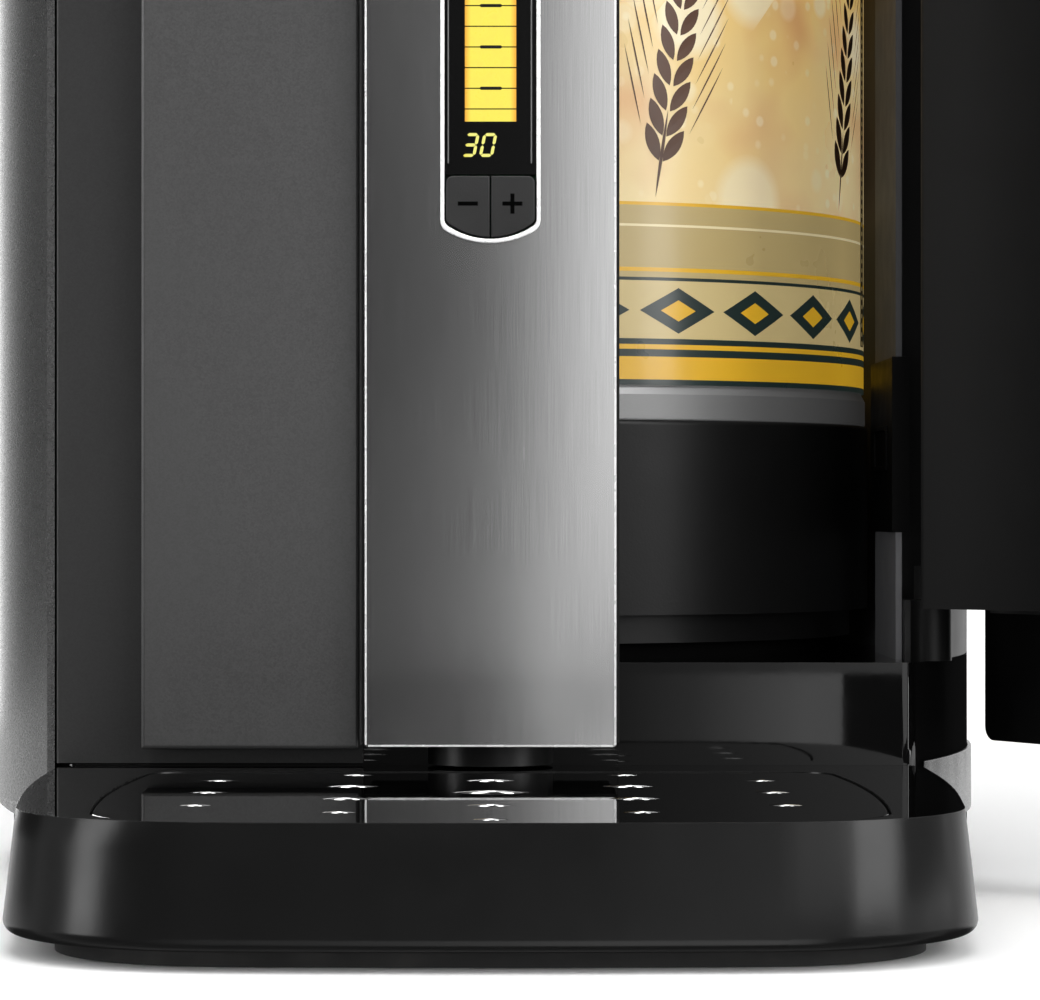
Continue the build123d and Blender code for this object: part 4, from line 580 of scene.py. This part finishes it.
def dash_pieces():
    """Every second line carries a thick dash with round ends."""
    place = facing(FACE_Y - PRINT_DEPTH)
    shapes = []
    z = BAR_FIRST + BAR_STEP
    while z < BAR_TOP - BAR_STEP:
        r = DASH_HEIGHT / 2
        outline = []
        for x, start in ((DASH_RIGHT - r, -90), (DASH_LEFT + r, 90)):
            turns = [math.radians(start + 30 * k) for k in range(7)]
            outline += [(x + r * math.cos(turn), z + r * math.sin(turn)) for turn in turns]
        shapes.append(prism(outline, 0.0, PRINT_DEPTH, place))
        z += 2 * BAR_STEP
    return shapes


def digit_pieces(left, lit):
    """Seven-segment digit; lit names the segments from a (top) to g (middle)."""
    w, h, t = DIGIT_WIDTH, DIGIT_HEIGHT, DIGIT_STROKE
    gap = DIGIT_GAP
    flat = {"a": (h, True), "g": (h / 2, True), "d": (0.0, True)}
    shapes = []
    for key in lit:
        if key in flat:
            mid = min(max(flat[key][0], t / 2), h - t / 2)
            start, end = t / 2 + gap, w - t / 2 - gap
            outline = [(start, mid), (start + t / 2, mid - t / 2), (end - t / 2, mid - t / 2),
                       (end, mid), (end - t / 2, mid + t / 2), (start + t / 2, mid + t / 2)]
        else:
            x = w - t / 2 if key in "bc" else t / 2
            low, high = (h / 2, h - t / 2) if key in "bf" else (t / 2, h / 2)
            low, high = low + gap, high - gap
            outline = [(x, low), (x + t / 2, low + t / 2), (x + t / 2, high - t / 2), (x, high),
                       (x - t / 2, high - t / 2), (x - t / 2, low + t / 2)]
        outline = [(left + u + DIGIT_SLANT * v, DIGIT_LOW + v) for u, v in outline]
        shapes.append(prism(outline, 0.0, PRINT_DEPTH, facing(FACE_Y)))
    return shapes


lit_yellow = glow("lit_bar", srgb(250, 236, 92), srgb(246, 178, 62), 0.96)
lit_digits = glow("lit_digits", srgb(242, 238, 130), srgb(236, 224, 96), 0.96)
ink = plastic("display_ink", rgb(10), 0.3, 0.002, 0.000002, wear=0.0)
add_object("level_bar", joined("level_bar", bar_pieces()), "housing", lit_yellow)
add_object("level_dashes", joined("level_dashes", dash_pieces()), "housing", ink)
add_object("level_digits", joined("level_digits", digit_pieces(DIGIT_LEFTS[0], "abcdg")
                                  + digit_pieces(DIGIT_LEFTS[1], "abcdef")), "housing", lit_digits)

KEY_MARK_Z, KEY_MARK_HALF, KEY_MARK_STROKE = 162.5 * MM, 2.35 * MM, 0.95 * MM
MINUS_X, PLUS_X = -5.3 * MM, 5.15 * MM
half, stroke = KEY_MARK_HALF, KEY_MARK_STROKE / 2
minus = [rectangle(MINUS_X - half, MINUS_X + half, KEY_MARK_Z - stroke, KEY_MARK_Z + stroke)]
plus = [[(PLUS_X + a * half + b * stroke, KEY_MARK_Z + c * half + d * stroke) for a, b, c, d in (
    (-1, 0, 0, -1), (0, -1, 0, -1), (0, -1, -1, 0), (0, 1, -1, 0), (0, 1, 0, -1), (1, 0, 0, -1),
    (1, 0, 0, 1), (0, 1, 0, 1), (0, 1, 1, 0), (0, -1, 1, 0), (0, -1, 0, 1), (-1, 0, 0, 1))]]
mark_ink = plastic("key_mark", rgb(5), 0.8, 0.001, 0.000004, wear=0.0, ior=1.02)
for name, body, outlines in (("minus_mark", "minus_button", minus), ("plus_mark", "plus_button", plus)):
    shapes = [prism(outline, 0.0, PRINT_DEPTH, facing(KEY_Y)) for outline in outlines]
    add_object(name, joined(name, shapes), body, mark_ink)

# ---------------------------------------------------------------- lines down the window's sides
LINE_WIDTH, LINE_LOW, LINE_TOP = 0.32 * MM, 172.0 * MM, 257.0 * MM
LINE_PLACES = (-9.9 * MM, 9.6 * MM)
line_grey = plastic("window_line", rgb(88), 0.3, 0.001, 0.000002, wear=0.0)
lines = [prism(rectangle(x - LINE_WIDTH / 2, x + LINE_WIDTH / 2, LINE_LOW, LINE_TOP), 0.0, PRINT_DEPTH,
               facing(FACE_Y)) for x in LINE_PLACES]
add_object("window_lines", joined("window_lines", lines), "housing", line_grey)

# ---------------------------------------------------------------- drip plate
PLATE_LOW, PLATE_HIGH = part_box("drip_plate")
PLATE_HALF = PLATE_HIGH.x
PLATE_BOW, PLATE_FRONT_RADIUS, PLATE_BACK_RADIUS = 4.2 * MM, 24.0 * MM, 9.0 * MM
PLATE_GROWTH = 0.4 * MM
SLOT_PITCH_X, SLOT_PITCH_Y = 30.8 * MM, 38.3 * MM
SLOT_FIRST_Y = PLATE_HIGH.y - 27.7 * MM
SPOUT_Y = -0.194
SLOT_WIDTH, SLOT_GROWTH, SLOT_REACH = 7.2 * MM, 9.7 * MM, 39.0 * MM
SLOT_DEPTH_SHARE, SLOT_BULGE = 0.8, 0.58
PLATE_EDGE, PLATE_BORDER = 0.55 * MM, 4 * MM


def arc(centre, radius, start, end, steps):
    return [(centre[0] + radius * math.cos(math.radians(start + (end - start) * k / steps)),
             centre[1] + radius * math.sin(math.radians(start + (end - start) * k / steps)))
            for k in range(steps + 1)]


def plate_outline():
    """Plan of the plate: bowed sides, wide round corners in front, small ones behind."""
    middle = (PLATE_LOW.y + PLATE_HIGH.y) / 2
    reach = (PLATE_HIGH.y - PLATE_LOW.y) / 2
    corners = ((1, PLATE_LOW.y, PLATE_FRONT_RADIUS, -90), (1, PLATE_HIGH.y, PLATE_BACK_RADIUS, 0),
               (-1, PLATE_HIGH.y, PLATE_BACK_RADIUS, 90), (-1, PLATE_LOW.y, PLATE_FRONT_RADIUS, 180))
    outline = []
    for side, y, radius, start in corners:
        inward = radius if y < middle else -radius
        outline += arc((side * (PLATE_HALF - radius), y + inward), radius, start, start + 90, 14)
        if y == PLATE_LOW.y and side > 0:
            outline += [(PLATE_HALF, middle + reach * k / 10) for k in range(-6, 9)]
        if y == PLATE_HIGH.y and side < 0:
            outline += [(-PLATE_HALF, middle - reach * k / 10) for k in range(-8, 7)]
    return [(x - math.copysign(PLATE_BOW, x) * ((y - middle) / reach) ** 2 * min(1.0, abs(x) / PLATE_HALF), y)
            for x, y in outline]


def through(start, mid, end, steps):
    """Points of the arc through three points, without its end."""
    (ax, ay), (bx, by), (cx, cy) = start, mid, end
    d = 2 * (ax * (by - cy) + bx * (cy - ay) + cx * (ay - by))
    a2, b2, c2 = ax * ax + ay * ay, bx * bx + by * by, cx * cx + cy * cy
    ux = (a2 * (by - cy) + b2 * (cy - ay) + c2 * (ay - by)) / d
    uy = (a2 * (cx - bx) + b2 * (ax - cx) + c2 * (bx - ax)) / d
    radius = math.hypot(ax - ux, ay - uy)
    first, last = math.atan2(ay - uy, ax - ux), math.atan2(cy - uy, cx - ux)
    sweep = (last - first + math.pi) % (2 * math.pi) - math.pi
    turns = [first + sweep * k / steps for k in range(steps)]
    return [(ux + radius * math.cos(turn), uy + radius * math.sin(turn)) for turn in turns]


def slot_outline(x, y):
    """Pointed drain slot, widest under the spout."""
    reach = math.hypot(x, y - SPOUT_Y)
    half = (SLOT_WIDTH + SLOT_GROWTH * math.exp(-((reach / SLOT_REACH) ** 2))) / 2
    depth = half * SLOT_DEPTH_SHARE
    corners = [(-half, 0), (0, depth), (half, 0), (0, -depth)]
    points = []
    for start, end in zip(corners, corners[1:] + corners[:1]):
        mid = (SLOT_BULGE * (start[0] + end[0]), SLOT_BULGE * (start[1] + end[1]))
        points += through(start, mid, end, 7)
    return [(x + u, y + v) for u, v in points]


def slot_places():
    for column in range(-2, 3):
        first = SLOT_FIRST_Y + (SLOT_PITCH_Y / 2 if column % 2 else 0.0)
        for row in range(3 if abs(column) == 2 else 4):
            yield column * SLOT_PITCH_X, first - row * SLOT_PITCH_Y


def plate_mesh():
    """Filled outline with its slots, every rim rounded, as a mesh."""
    curve = bpy.data.curves.new("drip_plate_curve", "CURVE")
    curve.dimensions = "2D"
    curve.fill_mode = "BOTH"
    curve.extrude = (PLATE_HIGH.z - PLATE_LOW.z) / 2 - PLATE_EDGE
    curve.bevel_depth = PLATE_EDGE
    curve.bevel_resolution = 3
    curve.offset = PLATE_GROWTH - PLATE_EDGE
    for outline in [plate_outline()] + [slot_outline(x, y) for x, y in slot_places()]:
        spline = curve.splines.new("POLY")
        spline.points.add(len(outline) - 1)
        for point, (x, y) in zip(spline.points, outline):
            point.co = (x, y, 0.0, 1.0)
        spline.use_cyclic_u = True
    holder = bpy.data.objects.new("drip_plate_curve", curve)
    scene.collection.objects.link(holder)
    data = bpy.data.meshes.new_from_object(holder.evaluated_get(bpy.context.evaluated_depsgraph_get()))
    bpy.data.objects.remove(holder)
    data.materials.clear()
    mid_z = (PLATE_HIGH.z + PLATE_LOW.z) / 2
    for vertex in data.vertices:
        vertex.co.z += mid_z
    bm = bmesh.new()
    bm.from_mesh(data)
    bmesh.ops.remove_doubles(bm, verts=bm.verts, dist=0.000001)
    bmesh.ops.recalc_face_normals(bm, faces=bm.faces)
    bm.to_mesh(data)
    bm.free()
    return data


plate = add_object("drip_plate_polished", plate_mesh(), "tray_plate", TRAY_GLOSS,
                   ["drip_plate"])
plate.data.materials.append(metal("polished_rim", rgb(205), 0.12, brush_size=0.002, brush_depth=0.000002))
for polygon in plate.data.polygons:
    x, y, _ = polygon.center
    rim = 0.12 < polygon.normal.z < 0.97
    inner = (abs(x) < PLATE_HALF - PLATE_BORDER
             and PLATE_LOW.y + PLATE_BORDER < y < PLATE_HIGH.y - PLATE_BORDER)
    polygon.material_index = int(rim and inner)

# ---------------------------------------------------------------- keg label print
EAR_COUNT, EAR_LOW, GRAIN_ROWS, GRAIN_PITCH = 9, 0.176, 10, 0.0062
GRAIN_LENGTH, GRAIN_WIDTH, GRAIN_LEAN = 0.0098, 0.0036, 0.5
EAR_TILT, EAR_START = 0.16, 0.62
GRAIN_ASIDE, BEARD_ASIDE, BEARD_RISE, BEARD_LEAN = 0.0029, 0.0105, 0.013, 0.38
BEARD_LENGTH, BEARD_WIDTH, STALK_LENGTH, STALK_WIDTH = 0.02, 0.0004, 0.022, 0.0009
PRINT_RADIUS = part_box("keg_label")[1].x + 0.06 * MM


def wrapped(u, v, w):
    """Maps (along, up, out) onto the label's cylinder."""
    turn = u / PRINT_RADIUS
    return ((PRINT_RADIUS + w) * math.sin(turn), -(PRINT_RADIUS + w) * math.cos(turn), v)


def leaf(centre, length, width, lean, steps=8):
    """Pointed oval outline round a centre, leaning by an angle."""
    side = [(width / 2 * math.sin(math.pi * k / steps) ** 0.8, length * (k / steps - 0.5))
            for k in range(steps + 1)]
    outline = side + [(-u, v) for u, v in side[-2:0:-1]]
    c, s = math.cos(lean), math.sin(lean)
    return [(centre[0] + u * c + v * s, centre[1] - u * s + v * c) for u, v in outline]


def ear_outlines(centre, tilt):
    """Barley ear: stalk, pairs of grains with a seam of light between them, and long beards."""
    top = EAR_LOW + GRAIN_ROWS * GRAIN_PITCH
    outlines = [leaf((0.0, EAR_LOW + 0.002), STALK_LENGTH, STALK_WIDTH, 0.0)]
    for row in range(GRAIN_ROWS):
        size = 1.0 - 0.45 * (row / GRAIN_ROWS) ** 2
        v = EAR_LOW + (row + 0.7) * GRAIN_PITCH
        for side in (-1, 1):
            outlines.append(leaf((side * GRAIN_ASIDE * size, v), GRAIN_LENGTH * size, GRAIN_WIDTH * size,
                                 side * GRAIN_LEAN))
            outlines.append(leaf((side * BEARD_ASIDE * size, v + BEARD_RISE), BEARD_LENGTH, BEARD_WIDTH,
                                 side * BEARD_LEAN))
    outlines.append(leaf((0.0, top + 0.002), GRAIN_LENGTH * 0.7, GRAIN_WIDTH * 0.7, 0.0))
    outlines.append(leaf((0.0, top + 0.014), BEARD_LENGTH, BEARD_WIDTH, 0.0))
    c, s = math.cos(tilt), math.sin(tilt)
    return [[(centre + u * c + (v - EAR_LOW) * s, EAR_LOW - u * s + (v - EAR_LOW) * c) for u, v in outline]
            for outline in outlines]


def print_faces(outlines):
    """One flat face, laid on the cylinder, for each outline."""
    return [([wrapped(u, v, 0.0) for u, v in outline], [tuple(range(len(outline)))]) for outline in outlines]


ears = []
for ear in range(EAR_COUNT):
    place = (ear + EAR_START) * 2 * math.pi * PRINT_RADIUS / EAR_COUNT
    ears += ear_outlines(place, EAR_TILT)
ear_ink = plastic("ear_ink", srgb(78, 48, 28), 0.36, 0.001, 0.000004, wear=0.0)
add_object("label_ears", joined("label_ears", print_faces(ears)), "housing", ear_ink)

# ---------------------------------------------------------------- chamber wall contact block
LEG_INSET = 8.1 * MM
LEG_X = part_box("chamber_liner")[1].x - LEG_INSET
BLOCK_Y, BLOCK_Z, BLOCK_DEEP = (-0.0868, -0.032), (0.0852, 0.1283), 0.0008
INSET_Y, INSET_Z, INSET_DEEP, INSET_WALL = (-0.076, -0.045), (0.1005, 0.1117), 0.0014, 0.0012
BLOCK_FRONT_X, BLOCK_FRONT_PROUD, BLOCK_ROUND = (LEG_X - 1.0 * MM, LEG_X + 3.4 * MM), 0.9 * MM, 0.15 * MM


def on_leg(u, v, w):
    return (LEG_X - w, u, v)


def frame_bars(y_pair, z_pair, wall):
    (y0, y1), (z0, z1) = y_pair, z_pair
    return [rectangle(y0, y1, z0, z0 + wall), rectangle(y0, y1, z1 - wall, z1),
            rectangle(y0, y0 + wall, z0 + wall, z1 - wall), rectangle(y1 - wall, y1, z0 + wall, z1 - wall)]


shapes = [prism(rectangle(*BLOCK_Y, *BLOCK_Z), 0.0, BLOCK_DEEP, on_leg)]
shapes += [prism(bar, BLOCK_DEEP, INSET_DEEP, on_leg) for bar in frame_bars(INSET_Y, INSET_Z, INSET_WALL)]
block_piece = add_object("contact_block", joined("contact_block", shapes), "housing", DEEP_BLACK)
round_edges(block_piece, BLOCK_ROUND, 2)

front = prism(rectangle(*BLOCK_FRONT_X, *BLOCK_Z), 0.0, BLOCK_DEEP, facing(BLOCK_Y[0] - BLOCK_FRONT_PROUD))
front_piece = add_object("contact_block_front", joined("contact_block_front", [front]), "housing", DEEP_BLACK)
round_edges(front_piece, BLOCK_ROUND, 2)

# ---------------------------------------------------------------- pale strip round the brushed sheet, a painted highlight along its edge
SHEET_LOW, SHEET_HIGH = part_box("column_panel")
EDGE_WIDTH, EDGE_INSET, EDGE_PROUD, EDGE_BREAK = 0.42 * MM, 0.12 * MM, 0.06 * MM, 0.8 * MM
edge_left, edge_right = SHEET_LOW.x + EDGE_INSET, SHEET_HIGH.x - EDGE_INSET
edge_low, edge_high = SHEET_LOW.z + EDGE_INSET, SHEET_HIGH.z - EDGE_INSET
edges = [rectangle(edge_left, edge_left + EDGE_WIDTH, edge_low + EDGE_WIDTH, edge_high),
         rectangle(edge_right - EDGE_WIDTH, edge_right, edge_low + EDGE_WIDTH, edge_high),
         rectangle(edge_left + EDGE_BREAK, edge_right - EDGE_BREAK, edge_low, edge_low + EDGE_WIDTH)]
shapes = [prism(outline, 0.0, EDGE_PROUD, facing(SHEET_LOW.y)) for outline in edges]
# the strip's pale colour paints the highlight on the sheet's rounded edge
add_object("sheet_edge_highlight", joined("sheet_edge_highlight", shapes), "housing", trim_and_painted_highlight("sheet_edge_highlight", 0.4))

# ---------------------------------------------------------------- seal in the seam between wing and column
COLUMN_LEFT_X = -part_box("column_frame")[1].x
WING_LOW, WING_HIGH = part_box("left_wing")
SEAL_X = (COLUMN_LEFT_X - 0.62 * MM, COLUMN_LEFT_X - 0.06 * MM)
SEAL_INSET, SEAL_DEEP, SEAL_BACK = 1 * MM, 3 * MM, 3.5 * MM
strip = prism(rectangle(*SEAL_X, WING_LOW.z + SEAL_INSET, WING_HIGH.z - SEAL_INSET), 0.0, SEAL_DEEP,
              facing(WING_LOW.y + SEAL_BACK))
add_object("seam_seal", joined("seam_seal", [strip]), "housing", MATERIALS["grey_wing_metal"])

# ---------------------------------------------------------------- studio
ROOM_FILL, ROOM_FRONT, ROOM_BACK = 0.4, 0.05, 1.0
FLOOR_FADE, FLOOR_GLOW = (0.45, 1.3), 0.7
# the floor grows as white as the room away from the object
ground = Nodes("floor")
ground.set(Base_Color=ground.mix(ground.noise(0.3, 3.0), rgb(250), rgb(254)), Roughness=0.7)
away = ground.add("ShaderNodeVectorMath", {0: ground.place}, operation="LENGTH").outputs["Value"]
ground.set(Emission_Color=ground.mix(ground.ramp(away, *FLOOR_FADE), (0, 0, 0, 1), (1, 1, 1, 1)))
ground.set(Emission_Strength=FLOOR_GLOW)
bpy.ops.mesh.primitive_plane_add(size=14.0, location=(0, 0, -0.0002))
floor = bpy.context.object
floor.name = "floor"
floor.data.materials.append(ground.material)
floor.visible_glossy = False

world = bpy.data.worlds.new("studio")
world.use_nodes = True
scene.world = world
sky = world.node_tree


def sky_node(kind, **settings):
    node = sky.nodes.new(kind)
    for key, value in settings.items():
        setattr(node, key, value)
    return node


def background(strength):
    node = sky_node("ShaderNodeBackground")
    node.inputs[0].default_value = (1, 1, 1, 1)
    if isinstance(strength, (int, float)):
        node.inputs[1].default_value = strength
    else:
        sky.links.new(strength, node.inputs[1])
    return node.outputs[0]


def either(factor, a, b):
    node = sky_node("ShaderNodeMixShader")
    for socket, value in zip(node.inputs, (factor, a, b)):
        sky.links.new(value, socket)
    return node.outputs[0]


# reflections see a room that is white behind the object, as the camera does, and dimmer towards the front
rays = sky_node("ShaderNodeLightPath")
direction = sky_node("ShaderNodeTexCoord").outputs["Generated"]
parts = sky_node("ShaderNodeSeparateXYZ")
sky.links.new(direction, parts.inputs[0])
halfway = sky_node("ShaderNodeMath", operation="MULTIPLY_ADD")
halfway.inputs[1].default_value = halfway.inputs[2].default_value = 0.5
cubed = sky_node("ShaderNodeMath", operation="POWER")
cubed.inputs[1].default_value = 3.0
room = sky_node("ShaderNodeMath", operation="MULTIPLY_ADD")
room.inputs[1].default_value = ROOM_BACK - ROOM_FRONT
room.inputs[2].default_value = ROOM_FRONT
sky.links.new(parts.outputs[1], halfway.inputs[0])
sky.links.new(halfway.outputs[0], cubed.inputs[0])
sky.links.new(cubed.outputs[0], room.inputs[0])
seen = either(rays.outputs["Is Glossy Ray"], background(ROOM_FILL), background(room.outputs[0]))
seen = either(rays.outputs["Is Transmission Ray"], seen, background(1.0))
seen = either(rays.outputs["Is Camera Ray"], seen, background(1.0))
sky.links.new(seen, sky.nodes["World Output"].inputs[0])


def softbox(name, place, target, size, power, glossy=True, diffuse=True):
    data = bpy.data.lights.new(name, "AREA")
    data.shape = "RECTANGLE"
    data.size, data.size_y = size
    data.energy = power
    light = bpy.data.objects.new(name, data)
    light.location = place
    light.rotation_euler = (Vector(target) - Vector(place)).to_track_quat("-Z", "Y").to_euler()
    light.visible_glossy = glossy
    light.visible_diffuse = diffuse
    scene.collection.objects.link(light)


softbox("right_box", (1.25, -0.85, 0.75), (0, -0.1, 0.15), (0.7, 1.5), 17)
softbox("left_box", (-1.35, -0.55, 0.6), (0, -0.1, 0.15), (0.45, 1.4), 11)
softbox("top_box", (0.0, -0.1, 1.7), (0, 0, 0.2), (1.6, 1.2), 20)
softbox("front_fill", (0.85, -1.9, 0.7), (0, 0, 0.15), (0.9, 0.9), 10, glossy=False)
softbox("low_fill", (-0.5, -1.5, 0.12), (0.09, -0.08, 0.08), (0.5, 0.2), 5, glossy=False)
softbox("top_card", (0.0, -0.8, 1.2), (0, -0.1, 0.1), (1.6, 0.9), 22, diffuse=False)

# boards, bright and dark, that only mirror rays see: name, foot point, heading in plan, reach along it,
# heights, and stops of light as (place, strength)
CARD_Y, CARD_LOW_Z, CARD_SPLIT_Z, CARD_HIGH_Z = -0.8, -0.04, 0.04, 0.9
CARDS = (
    ("upper_card", (0, CARD_Y), 0, (-0.6, 0.6), (CARD_SPLIT_Z, CARD_HIGH_Z),
     ((-0.24, 0.045), (-0.14, 0.07), (-0.02, 0.105), (0.04, 0.18), (0.1, 0.38), (0.16, 0.72), (0.2, 1.0),
      (0.3, 1.3))),
    ("lower_card", (0, CARD_Y), 0, (-0.6, 0.1455), (CARD_LOW_Z, CARD_SPLIT_Z),
     ((-0.24, 0.03), (-0.02, 0.1), (0.05, 0.2), (0.084, 0.5), (0.1, 0.8), (0.13, 1.4))),
    ("tray_card", (0, CARD_Y), 0, (-0.5, 0.5), (-0.6, CARD_LOW_Z),
     ((-0.3, 0.3), (-0.1, 0.68), (0.0, 1.25), (0.1, 2.0), (0.2, 2.0), (0.34, 1.4), (0.5, 0.5))),
    ("tray_left_card", (-0.9, -0.9), 0, (-0.1, 0.08), (-0.8, -0.1), ((-0.1, 0.25), (0.08, 0.25))),
    ("tray_right_card", (0.9, -0.9), 0, (-0.1, 0.08), (-0.8, -0.1), ((-0.1, 0.2), (0.08, 0.2))),
    ("right_card", (1.3, -0.2), 90, (-0.6, 0.6), (-0.04, 0.05), ((-0.6, 1.6), (0.0, 1.8), (0.6, 1.5))),
    ("low_flag", (0, 0.9), 0, (-2.5, 2.5), (-2.0, -0.25), ((-2.5, 0.03), (2.5, 0.03))),
    ("left_flag", (0, 1.0), 0, (-2.5, -0.16), (-0.02, 1.2),
     ((-2.5, 0.0), (-0.85, 0.02), (-0.62, 0.6), (-0.48, 2.6), (-0.34, 8.0))))


def card(name, foot_point, heading, across, upright, stops):
    """Glowing board whose light follows the stops (place, strength) along its heading."""
    n = Nodes(name)
    x = n.axes()[0]
    first, last, peak = stops[0][0], stops[-1][0], max(level for _, level in stops)
    ramp = n.add("ShaderNodeValToRGB", {0: n.ramp(x, first, last)})
    colours = ramp.color_ramp.elements
    for place, level in stops[1:-1]:
        colours.new((place - first) / (last - first)).color = (level / peak,) * 3 + (1,)
    colours[0].color = (stops[0][1] / peak,) * 3 + (1,)
    colours[-1].color = (stops[-1][1] / peak,) * 3 + (1,)
    n.set(Base_Color=(0, 0, 0, 1))
    n.set(Specular_IOR_Level=0.0)
    n.set(Emission_Color=(1, 1, 1, 1))
    n.set(Emission_Strength=n.maths("MULTIPLY", ramp.outputs[0], peak))
    corners = [(across[0], 0, upright[0]), (across[1], 0, upright[0]), (across[1], 0, upright[1]),
               (across[0], 0, upright[1])]
    board = bpy.data.objects.new(name, mesh_from(name, corners, [(0, 1, 2, 3)], False))
    board.location = (*foot_point, 0)
    board.rotation_euler = (0, 0, math.radians(heading))
    board.data.materials.append(n.material)
    scene.collection.objects.link(board)
    board.visible_camera = board.visible_diffuse = board.visible_shadow = board.visible_transmission = False


for entry in CARDS:
    card(*entry)

scene.view_settings.view_transform = "Standard"
